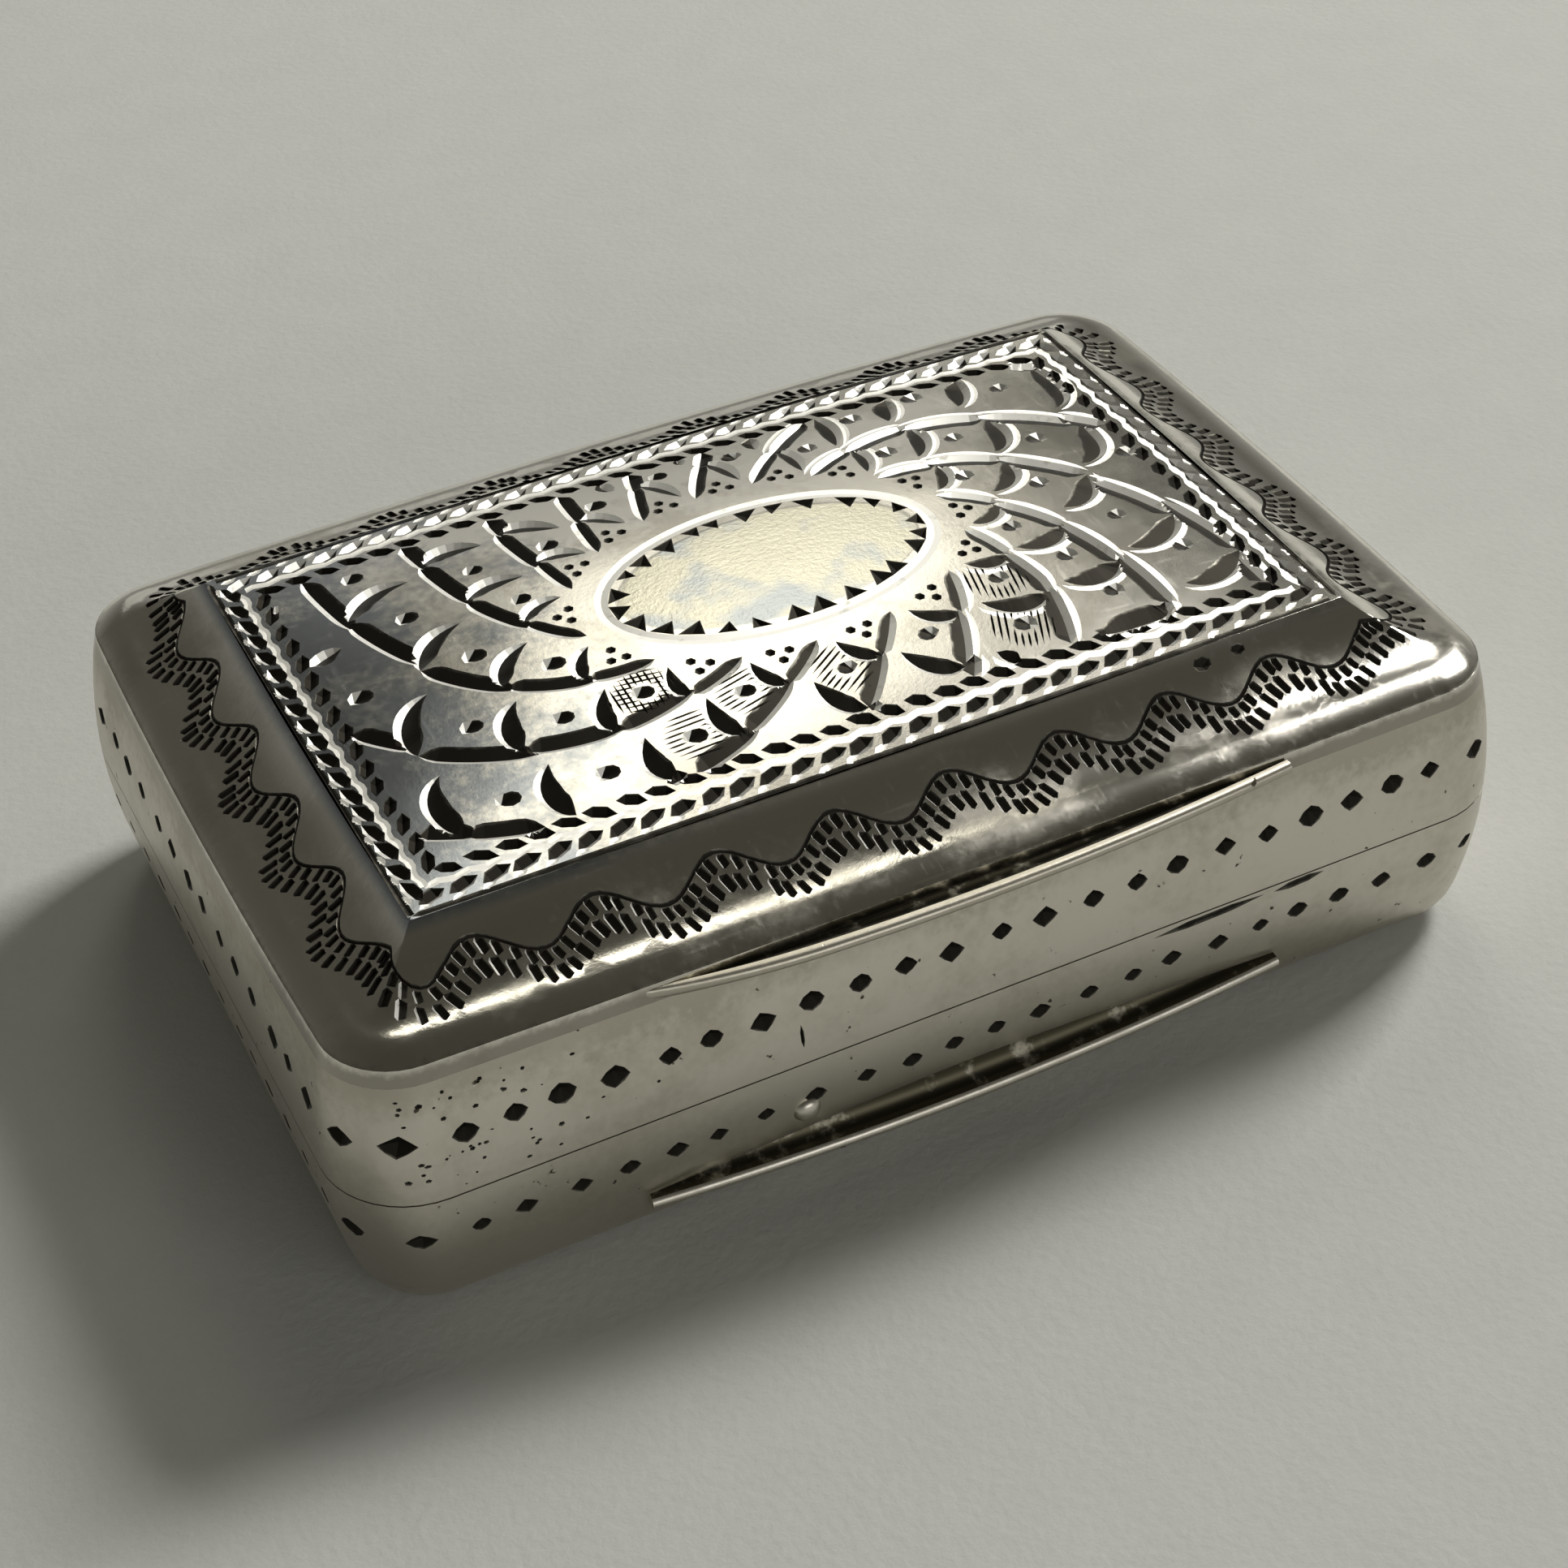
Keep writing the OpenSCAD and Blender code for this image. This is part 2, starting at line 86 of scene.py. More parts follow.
# %% Sizes of the box
RIM_X, RIM_Y, CORNER = 17.5, 11.7, 2.0
SEAM_Z, LID_Z, EDGE_Z, RIM_Z = 4.9, 4.95, 8.7, 9.2
SHEET, BULGE, LID_H = 0.6, 0.65, 4.3
WALL_R = (LID_H**2 + BULGE**2) / (2 * BULGE)
WALL_C = BULGE - WALL_R
FOOT_R = 1.7
FOOT_C = WALL_C + math.sqrt((WALL_R - FOOT_R) ** 2 - (SEAM_Z - FOOT_R) ** 2)
FOOT_A = math.asin((SEAM_Z - FOOT_R) / (WALL_R - FOOT_R))
FOOT_Z = FOOT_R * (1 - math.sin(FOOT_A))
EDGE_W, EDGE_RISE, COVE_W, COVE_RISE, LAND = 0.9, 0.32, 2.4, 1.1, math.radians(6)
MARGIN = EDGE_W + COVE_W
PANEL_X, PANEL_Y = RIM_X - MARGIN, RIM_Y - MARGIN
CROWN = 0.9
HINGE_L, HINGE_Z, KNUCKLE_R = 25.0, 4.925, 0.7


def wall_u(z, thick=0.0):
    """How far the wall's face stands out from the rim's line at a height."""
    return WALL_C + np.sqrt((WALL_R - thick) ** 2 - (np.asarray(z, float) - SEAM_Z) ** 2)


print("wall radius", round(WALL_R, 2), "mm, panel", 2 * PANEL_X, "by", 2 * PANEL_Y, "mm")

# %% [markdown]
# ## Writing shaders as sums
# A material is a graph of nodes. Drawing it by hand is slow, so a small class wraps a socket and
# lets it stand in a Python sum: `1 - mask * 0.5` adds the Math nodes by itself. Any other node
# comes from one method that sets the node up first and then fills its sockets.


# %% Sockets that can be added and multiplied
class Wire:
    """A node's output that can be used in a sum."""

    def __init__(self, finish, socket):
        self.finish, self.socket = finish, socket

    def sum(self, how, first, second):
        return self.finish.node("ShaderNodeMath", {"operation": how}, {0: first, 1: second})

    def __add__(self, other):
        return self.sum("ADD", self, other)

    def __radd__(self, other):
        return self.sum("ADD", other, self)

    def __sub__(self, other):
        return self.sum("SUBTRACT", self, other)

    def __rsub__(self, other):
        return self.sum("SUBTRACT", other, self)

    def __mul__(self, other):
        return self.sum("MULTIPLY", self, other)

    def __rmul__(self, other):
        return self.sum("MULTIPLY", other, self)


print("sockets can be added, subtracted and multiplied")


# %% A finish and its nodes
class Finish:
    """A material, or the room's light, with its shader and the nodes that feed it."""

    def __init__(self, name, kind="materials", shader="Principled BSDF"):
        self.material = getattr(bpy.data, kind).new(name)
        self.material.use_nodes = True
        self.tree = self.material.node_tree
        self.shader = self.tree.nodes[shader]

    def node(self, kind, settings, sockets, out=0):
        made = self.tree.nodes.new(kind)
        for key, value in settings.items():
            if key == "stops":
                ramp = made.color_ramp.elements
                while len(ramp) < len(value):
                    ramp.new(0.5)
                for stop, (place, colour) in zip(ramp, value):
                    stop.position, stop.color = place, (*colour, 1.0)
            else:
                setattr(made, key, value)
        for key, value in sockets.items():
            self.plug(made.inputs[key], value)
        return Wire(self, made.outputs[out])

    def plug(self, socket, value):
        if isinstance(value, Wire):
            self.tree.links.new(value.socket, socket)
        elif socket.type == "RGBA" and len(value) == 3:
            socket.default_value = (*value, 1.0)
        else:
            socket.default_value = value

    def set(self, **sockets):
        for key, value in sockets.items():
            self.plug(self.shader.inputs[key.replace("_", " ").title()], value)

    def place(self, stretch=(1, 1, 1), turn=(0, 0, 0)):
        spot = self.node("ShaderNodeTexCoord", {}, {}, out="Object")
        values = {"Vector": spot, "Scale": stretch, "Rotation": turn}
        return self.node("ShaderNodeMapping", {}, values)

    def axes(self):
        """How far a point lies along x, y and z, in millimetres."""
        spot = self.node("ShaderNodeTexCoord", {}, {}, out="Object")
        return [self.node("ShaderNodeSeparateXYZ", {}, {0: spot}, out=k) * (1 / MM) for k in "XYZ"]

    def cloud(self, size, detail=3.0, rough=0.55, stretch=(1, 1, 1), turn=(0, 0, 0)):
        """Soft noise whose blots are about size millimetres across."""
        spot = self.place(stretch, turn)
        values = {"Vector": spot, "Scale": 1 / (size * MM), "Detail": detail, "Roughness": rough}
        return self.node("ShaderNodeTexNoise", {}, values)

    def between(self, wire, low, high):
        """0 below low, 1 above high, and a smooth step between them."""
        values = {"Value": wire, "From Min": low, "From Max": high}
        return self.node("ShaderNodeMapRange", {"interpolation_type": "SMOOTHSTEP"}, values)

    def mix(self, share, first, second):
        values = {"Factor": share, 6: first, 7: second}
        return self.node("ShaderNodeMix", {"data_type": "RGBA"}, values, out=2)

    def spread(self, name):
        """A number that the mesh carries at each of its points."""
        return self.node("ShaderNodeAttribute", {"attribute_name": name}, {}, out="Fac")

    def bump(self, height, depth):
        values = {"Height": height, "Distance": depth * MM, "Strength": 1.0}
        return self.node("ShaderNodeBump", {}, values)


print("shader tools ready")

# %% [markdown]
# ## Worn silver
# Old silver is never one colour. It is a warm mirror where cloths rub it, and it keeps a brown to
# bluish film of tarnish where they don't reach. A flat grey metal would show none of that, so two
# layers of noise decide where the film lies, and the same film dulls the shine. Long, thin noise
# gives the hair scratches that polishing leaves.

# %% Silver of the walls and small parts
CREAM, BROWN, PIT = (0.82, 0.79, 0.715), (0.47, 0.44, 0.365), (0.09, 0.08, 0.06)


def scratches(f):
    hair = f.cloud(0.25, detail=2.0, stretch=(1, 0.06, 1), turn=(0, 0, 0.5))
    cross = f.cloud(0.3, detail=2.0, stretch=(0.08, 1, 1), turn=(0, 0, -0.3))
    return f.between(hair, 0.6, 0.75) + f.between(cross, 0.62, 0.78)


plain = Finish("worn_silver")
specks = plain.cloud(0.3, detail=3.0)
film = plain.between(plain.cloud(3.5, detail=4.0, rough=0.6) + 0.3 * specks, 0.55, 0.95)
pits = plain.between(plain.cloud(0.45, detail=2.0, rough=0.7), 0.7, 0.76)
# Painted shade: from 8 mm up, the wall is mixed browner and darker towards the rim.
shade_under_rim = plain.between(plain.axes()[2] + 1.2 * specks, 8.0, 9.2)
tone = plain.mix(0.5 + 0.4 * film + 0.4 * shade_under_rim, CREAM, BROWN)
plain.set(metallic=1.0, base_color=plain.mix(pits, tone, PIT))
plain.set(roughness=0.36 + 0.1 * film + 0.04 * scratches(plain) + 0.2 * pits)
waves = 0.5 * plain.cloud(2.5, detail=1.0) + 0.1 * specks - 0.2 * pits
plain.set(normal=plain.bump(waves, 0.05))
print("made", plain.material.name)

# %% [markdown]
# ## Silver of the lid
# The lid shows its age by place. Its hollow margin is the best mirror. The engraved panel has gone
# satin from rubbing. Its left end is painted bluish and its right end grey, partly blotchy tarnish
# and partly a painted reflection of the dim room. The rim's side and outer edge carry a painted
# dark reflection. The oval in the middle is grained, cream and blue. The shader knows where it is
# by the object's own axes.

# %% Silver of the engraved lid
OVAL_X, OVAL_Y, OVAL_A, OVAL_B, PANEL_SHIFT = 0.25, 0.08, 5.25, 3.08, 0.4
GRAIN_A, GRAIN_B, PANEL_LOW, PANEL_HIGH = 4.68, 2.52, 10.35, 10.6
BLUE, GREY, RIM_SHADE = (0.24, 0.27, 0.31), (0.33, 0.33, 0.295), (0.2, 0.18, 0.145)
WARM_OVAL, COOL_OVAL = (0.76, 0.73, 0.60), (0.53, 0.56, 0.57)
lid_silver = Finish("engraved_lid_silver")
x, y, z = lid_silver.axes()
panel = lid_silver.between(z, PANEL_LOW, PANEL_HIGH)
ox, oy = (x - OVAL_X) * (1 / GRAIN_A), (y - OVAL_Y - PANEL_SHIFT) * (1 / GRAIN_B)
oval = 1 - lid_silver.between(ox * ox + oy * oy, 0.95, 1.05)
specks = lid_silver.cloud(0.3, detail=3.0)
blots = lid_silver.cloud(2.6, detail=3.0, rough=0.6)
# Blotchy tarnish and a painted reflection darken the panel's left end to blue and its right end to
# grey.
left_end = lid_silver.between(blots + 0.4 * specks + (x + 7) * -0.05, 0.6, 1.0) * panel
right_end = lid_silver.between(blots + (x - 8) * 0.06, 0.5, 0.95) * panel
patches = lid_silver.between(lid_silver.cloud(3.2, detail=2.0) + 0.3 * specks, 0.6, 0.85)
tone = lid_silver.mix(0.5 * patches, CREAM, BROWN)
tone = lid_silver.mix(0.8 * right_end, tone, GREY)
tone = lid_silver.mix(0.85 * left_end, tone, BLUE)
# The rim's side and outer edge are mixed towards a dark brown: a painted dark reflection.
edge = 1 - lid_silver.between(z + 0.4 * specks, RIM_Z - 0.05, RIM_Z + 0.3)
tone = lid_silver.mix(0.75 * edge, tone, RIM_SHADE)
cool = lid_silver.between(lid_silver.cloud(2.2, detail=2.0) + ox * -0.1 + oy * -0.06, 0.48, 0.66)
tone = lid_silver.mix(oval, tone, lid_silver.mix(cool, WARM_OVAL, COOL_OVAL))
lid_silver.set(metallic=1.0, base_color=tone)
satin = 0.12 + 0.11 * panel + 0.1 * oval + 0.1 * patches * (1 - panel)
lid_silver.set(roughness=satin + 0.04 * scratches(lid_silver))
grain = lid_silver.cloud(0.16, detail=3.0, rough=0.7)
waves = 0.5 * lid_silver.cloud(2.8, detail=1.0) + grain * (0.05 + 0.3 * oval)
lid_silver.set(normal=lid_silver.bump(waves, 0.05))
print("made", lid_silver.material.name)

# %% [markdown]
# ## The graver's cuts
# A graver leaves two flanks in each cut. The flat one holds dirt and tarnish and is painted near
# black, with painted shade that deepens towards the bottom of the cut. The steep one is painted as
# a highlight, a pale and rough metal that looks lit from any side. The mesh carries the depth of
# each point for that painted shade.

# %% Dark flanks with painted shade, bright flanks with a painted highlight
dark_cut = Finish("dark_cut_silver")
# Deeper points of a cut are painted darker: painted shade, on top of real grime.
deep = dark_cut.between(dark_cut.spread("depth"), 0.0, 0.05)
grime_and_shade = dark_cut.between(dark_cut.cloud(0.45, detail=3.0) + 0.6 * deep, 0.35, 0.8)
tone = dark_cut.mix(grime_and_shade, (0.11, 0.105, 0.088), (0.022, 0.02, 0.016))
dark_cut.set(metallic=1.0, base_color=tone, roughness=0.4 + 0.15 * grime_and_shade)
# A flank with this finish is a painted highlight: pale, rough metal that looks lit from any side.
# smut is real dirt that dulls it.
highlight_cut = Finish("painted_highlight_cut_silver")
smut = highlight_cut.between(highlight_cut.cloud(0.5, detail=3.0), 0.58, 0.8)
tone = highlight_cut.mix(smut, (0.95, 0.94, 0.89), (0.6, 0.58, 0.52))
highlight_cut.set(metallic=1.0, base_color=tone, roughness=0.56 + 0.1 * smut)
print("made", dark_cut.material.name, "and", highlight_cut.material.name)

# %% [markdown]
# ## Gilding
# The inside was washed with gold, because vinegar eats silver. Fire gilding is soft and a little
# grainy, and it thins to a paler tone where it is rubbed. One gold colour would look like brass
# plate, so noise mixes the two tones and a finer noise raises the grain.

# %% Gilt silver
gilt = Finish("gilt_silver")
rubbed = gilt.between(gilt.cloud(2.5, detail=4.0), 0.45, 0.75)
gilt.set(metallic=1.0, base_color=gilt.mix(rubbed, (0.80, 0.55, 0.21), (0.86, 0.70, 0.40)))
grain = gilt.cloud(0.12, detail=2.0)
gilt.set(roughness=0.24 + 0.12 * grain, normal=gilt.bump(grain, 0.006))
print("made", gilt.material.name)

# %% [markdown]
# ## Sheets that follow the box
# The lid is one sheet, raised to a low cushion in the middle and hollowed towards its edge. Its
# height is a formula of where you stand on it, so its normals can be exact: a mirror shows every
# facet, and exact normals hide the triangles.


# %% Height of the lid
def rim_offset(x, y):
    """How far a point lies outside the rim's rounded rectangle, less than 0 inside it."""
    ax, ay = np.abs(x) - (RIM_X - CORNER), np.abs(y) - (RIM_Y - CORNER)
    rounded = np.hypot(np.maximum(ax, 0), np.maximum(ay, 0)) - CORNER
    return np.where((ax > 0) & (ay > 0), rounded, np.maximum(ax, ay) - CORNER)


def arc_of(width, rise, ease):
    """Radius of an arc that spans a width and a rise and starts at a slope."""
    return math.hypot(width, rise) / (2 * math.sin(math.atan2(rise, width) - ease))


BAND_R = arc_of(EDGE_W, EDGE_RISE, LAND)
COVE_R = arc_of(COVE_W, COVE_RISE, LAND)


def lid_height(x, y):
    x, y = np.asarray(x, float), np.asarray(y, float)
    inward = np.clip(-rim_offset(x, y), 0, MARGIN)
    band = np.sin(LAND) + (EDGE_W - inward) / BAND_R
    cove = np.sin(LAND) + (inward - EDGE_W) / COVE_R
    band_z = BAND_R * (np.sqrt(np.clip(1 - band**2, 0, 1)) - math.cos(LAND))
    cove_z = COVE_R * (math.cos(LAND) - np.sqrt(np.clip(1 - cove**2, 0, 1)))
    slope = RIM_Z + EDGE_RISE + np.where(inward < EDGE_W, band_z, cove_z)
    px, py = np.clip(x / PANEL_X, -1, 1), np.clip(y / PANEL_Y, -1, 1)
    return slope + CROWN * (1 - px**2) * (1 - py**2)


def unit(way):
    """Directions made one long."""
    return way / np.maximum(np.linalg.norm(way, axis=-1, keepdims=True), 1e-12)


def lid_normal(x, y, step=0.004):
    fall_x = (lid_height(x + step, y) - lid_height(x - step, y)) / (2 * step)
    fall_y = (lid_height(x, y + step) - lid_height(x, y - step)) / (2 * step)
    return unit(np.stack([-fall_x, -fall_y, np.ones_like(fall_x)], -1))


print("lid is", round(float(lid_height(0, 0)), 2), "mm high in the middle")


# %% [markdown]
# ## A walk round the plan
# Walls, dots and borders all run round the box. A curve object could carry them, but then each
# corner has to be read back from it. Here one class turns a distance walked round a rounded
# rectangle into a point and the direction that faces out there. The walk starts at the middle of
# the back, where the hinge is, and goes left.


# %% Walking round a rounded rectangle
class Walk:
    """A rounded rectangle that is walked round: nine runs, with corners between the sides."""

    def __init__(self, half_x, half_y, corner):
        self.cx, self.cy, self.corner = half_x - corner, half_y - corner, corner
        arc = corner * math.pi / 2
        self.runs = [self.cx, arc, 2 * self.cy, arc, 2 * self.cx, arc, 2 * self.cy, arc, self.cx]
        self.marks = np.concatenate([[0], np.cumsum(self.runs)])
        self.length = self.marks[-1]
        corners = [(-1, 1), (-1, -1), (1, -1), (1, 1)]
        pivots = [(0, 1)] + [spot for spot in corners for _ in (0, 1)]
        self.pivots = np.array(pivots) * [self.cx, self.cy]

    def at(self, s):
        """Points and outward directions at distances s. Odd runs are corners."""
        s = np.mod(np.asarray(s, float), self.length)
        run = np.clip(np.searchsorted(self.marks, s, side="right") - 1, 0, 8)
        t, bent = s - self.marks[run], run % 2
        angle = math.pi / 2 * (run // 2) + bent * t / self.corner
        out = np.stack([-np.sin(angle), np.cos(angle)], -1)
        along = np.stack([-np.cos(angle), -np.sin(angle)], -1)
        return self.pivots[run] + ((1 - bent) * t)[..., None] * along + self.corner * out, out

    def stations(self, pitch, in_corner=10):
        """Distances that take in every start and end of a corner."""
        made = []
        for k, run in enumerate(self.runs):
            n = in_corner if k % 2 else max(1, round(run / pitch))
            made += list(self.marks[k] + run * np.arange(n) / n)
        return np.array(made)


rim = Walk(RIM_X, RIM_Y, CORNER)
print("the rim is", round(float(rim.length), 1), "mm long")


# %% [markdown]
# ## How a cut becomes mesh
# Bump mapping would only pretend that the lid is engraved, and its edges would look soft. Here a
# cut is drawn on the flat sheet as an outline with a valley line inside it, and each point knows
# its depth. A Delaunay triangulation then fits the sheet around all the cuts at once, so the mesh
# has an edge wherever the graver left one and is coarse everywhere else.


# %% Drawing cuts on a flat sheet
def tip(p):
    """A station where a cut runs out to a point."""
    return p, p, p, 0


def left_of(way):
    """The direction a quarter turn to the left."""
    return np.array([-way[1], way[0]])


class Engraving:
    """The cuts in one flat sheet: points with depths, edges, and flanks that are dark or painted as
    a highlight.
    """

    def __init__(self):
        self.points, self.depths, self.edges, self.facets, self.bright = [], [], [], [], []

    def point(self, p, depth=0.0):
        self.points.append((float(p[0]), float(p[1])))
        self.depths.append(depth)
        return len(self.points) - 1

    def line(self, a, b):
        if a != b:
            self.edges.append((a, b))

    def facet(self, corners, bright=False):
        if len(set(corners)) == 3:
            self.facets.append(corners)
            self.bright.append(bright)

    def groove(self, stations, bright=(), closed=False):
        """A V between stations of (left, valley, right, depth). Flanks 0 and 2 may be painted as a
        highlight.
        """
        ids = []
        for left, valley, right, depth in stations:
            if depth <= 0:
                ids.append((self.point(valley),) * 3)
            else:
                ids.append((self.point(left), self.point(valley, depth), self.point(right)))
        for a, b in zip(ids, ids[1:] + ids[:1] if closed else ids[1:]):
            for k in range(3):
                self.line(a[k], b[k])
            for side in (0, 2):
                self.facet((a[side], a[1], b[1]), side in bright)
                self.facet((a[side], b[1], b[side]), side in bright)
                self.line(a[side], b[1])
        for left, valley, right in ids:
            self.line(left, valley)
            self.line(valley, right)

    def stroke(self, start, end, width, depth, lean=0.5, bright=(), taper=0.3):
        """One push of the graver: in at a point, deepest in the middle, out at a point."""
        start, end = np.asarray(start), np.asarray(end)
        way = end - start
        across, body = left_of(unit(way)) * width, []
        for share in (taper, 1 - taper):
            mid = start + share * way
            body.append((mid + 0.9 * lean * across, mid, mid - 0.9 * (1 - lean) * across, depth))
        self.groove([tip(start), *body, tip(end)], bright)

    def pit(self, middle, radii, depth, sides=8, turn=0.0, shift=(0, 0), star=1.0, glint=None):
        """A punched dot. star draws it in between its points, glint is the side that is widened and
        painted as a highlight.
        """
        ring, flash = [], []
        for k in range(sides):
            a, r = turn + 2 * math.pi * k / sides, star if k % 2 else 1.0
            lit = glint is not None and math.cos(a) * glint[0] + math.sin(a) * glint[1] > 0.6
            r *= 1.4 if lit else 1.0
            reach = r * radii[0] * math.cos(a), r * radii[1] * math.sin(a)
            ring.append(self.point((middle[0] + reach[0], middle[1] + reach[1])))
            flash.append(lit)
        low = self.point((middle[0] + shift[0], middle[1] + shift[1]), depth)
        for k, (a, b) in enumerate(zip(ring, ring[1:] + ring[:1])):
            self.line(a, b)
            self.line(a, low)
            self.facet((a, b, low), flash[k] or flash[(k + 1) % sides])


print("engraving tools ready")

# %% [markdown]
# ## How deep is the cut here?
# Cuts cross, and where they do the triangulation makes new points that nobody gave a depth. Each
# point of the sheet is therefore looked up in the flanks as they were drawn, and the deepest one
# counts. Trying every flank for every point would be slow, so both are first sorted into small
# squares, and only those that share a square are compared.


# %% Depth of the cuts at a point
def share_out(corners, size):
    """For each square of a grid, the triangles whose box reaches into it."""
    bins = defaultdict(list)
    low = np.floor((corners.min(1) - 1e-6) / size).astype(int)
    high = np.floor((corners.max(1) + 1e-6) / size).astype(int)
    for k in range(len(corners)):
        for i in range(low[k, 0], high[k, 0] + 1):
            for j in range(low[k, 1], high[k, 1] + 1):
                bins[i, j].append(k)
    return bins


def depth_at(cuts, where, size=0.5, slack=1e-4):
    """Depth of the cuts at points of the sheet, and whether the deepest flank there is bright."""
    where = np.asarray(where, float)
    found, flash = np.zeros(len(where)), np.zeros(len(where), bool)
    if not cuts.facets:
        return found, flash
    corners, deep = (np.array(v)[np.array(cuts.facets)] for v in (cuts.points, cuts.depths))
    bins, asked, bright = share_out(corners, size), defaultdict(list), np.array(cuts.bright)
    for n, (i, j) in enumerate(np.floor(where / size).astype(int)):
        asked[i, j].append(n)
    for cell, wanted in asked.items():
        if cell not in bins:
            continue
        tri, d, p = corners[bins[cell]], deep[bins[cell]], where[wanted][:, None]
        ab, ac, ap = tri[:, 1] - tri[:, 0], tri[:, 2] - tri[:, 0], p - tri[:, 0]
        whole = ab[:, 0] * ac[:, 1] - ab[:, 1] * ac[:, 0]
        whole = np.where(np.abs(whole) < 1e-12, 1e-12, whole)
        wb = (ap[..., 0] * ac[:, 1] - ap[..., 1] * ac[:, 0]) / whole
        wc = (ab[:, 0] * ap[..., 1] - ab[:, 1] * ap[..., 0]) / whole
        wa = 1 - wb - wc
        covers = np.minimum(np.minimum(wa, wb), wc) > -slack
        here = np.where(covers, wa * d[:, 0] + wb * d[:, 1] + wc * d[:, 2], 0)
        best = here.argmax(1)
        found[wanted] = here[np.arange(len(wanted)), best]
        flash[wanted] = bright[bins[cell]][best]
    return np.clip(found, 0, None), flash


print("depths can be looked up")


# %% [markdown]
# ## Collecting a skin
# A piece is a closed shell: an engraved outside, a plain inside, and the narrow rims that join
# them. A collector takes the parts in, welds points that fall together, and hands Blender one mesh
# with its own normals: exact ones on the smooth sheet, flat ones on each facet of a cut.


# %% Joining points and finding creases
def weld(points, reach=2e-5):
    """For each point, the first one that lies in the same place."""
    tree = KDTree(len(points))
    for k, p in enumerate(points):
        tree.insert(p, k)
    tree.balance()
    return np.array([min(hit[1] for hit in tree.find_range(p, reach)) for p in points])


def within(outline, spots):
    """Which spots lie in an outline: a line to the right crosses it an odd number of times."""
    odd = np.zeros(len(spots), bool)
    for (x0, y0), (x1, y1) in zip(outline, np.roll(outline, -1, 0)):
        if y0 != y1:
            crossed = (spots[:, 1] < y0) != (spots[:, 1] < y1)
            odd ^= crossed & (spots[:, 0] < x0 + (spots[:, 1] - y0) * (x1 - x0) / (y1 - y0))
    return odd


def creases(mesh, faces, normals, limit=8):
    """Which edges have faces whose normals part by more than some degrees."""
    ids, sizes = np.concatenate([np.array(f) for f in faces]), np.array([len(f) for f in faces])
    first = np.repeat(np.cumsum(sizes) - sizes, sizes)
    after = first + (np.arange(len(ids)) - first + 1) % np.repeat(sizes, sizes)
    ends = np.stack([ids, ids[after]], -1)
    both = np.stack([normals, normals[after]], 1)
    turned = ends[:, 0] > ends[:, 1]
    ends[turned], both[turned] = ends[turned, ::-1], both[turned, ::-1]
    count = len(mesh.vertices)
    keys = ends[:, 0] * count + ends[:, 1]
    order = np.argsort(keys, kind="stable")
    keys, both = keys[order], both[order]
    pair = np.flatnonzero(keys[1:] == keys[:-1])
    parting = (both[pair] * both[pair + 1]).sum(-1).min(-1) < math.cos(math.radians(limit))
    drawn = np.zeros(2 * len(mesh.edges), np.int32)
    mesh.edges.foreach_get("vertices", drawn)
    drawn = np.sort(drawn.reshape(-1, 2).astype(np.int64), axis=1)
    return np.isin(drawn[:, 0] * count + drawn[:, 1], keys[pair][parting])


print("weld and crease tools ready")


# %% Collecting sheets, strips and caps
TINY, NUDGE = 1e-5, 0.03


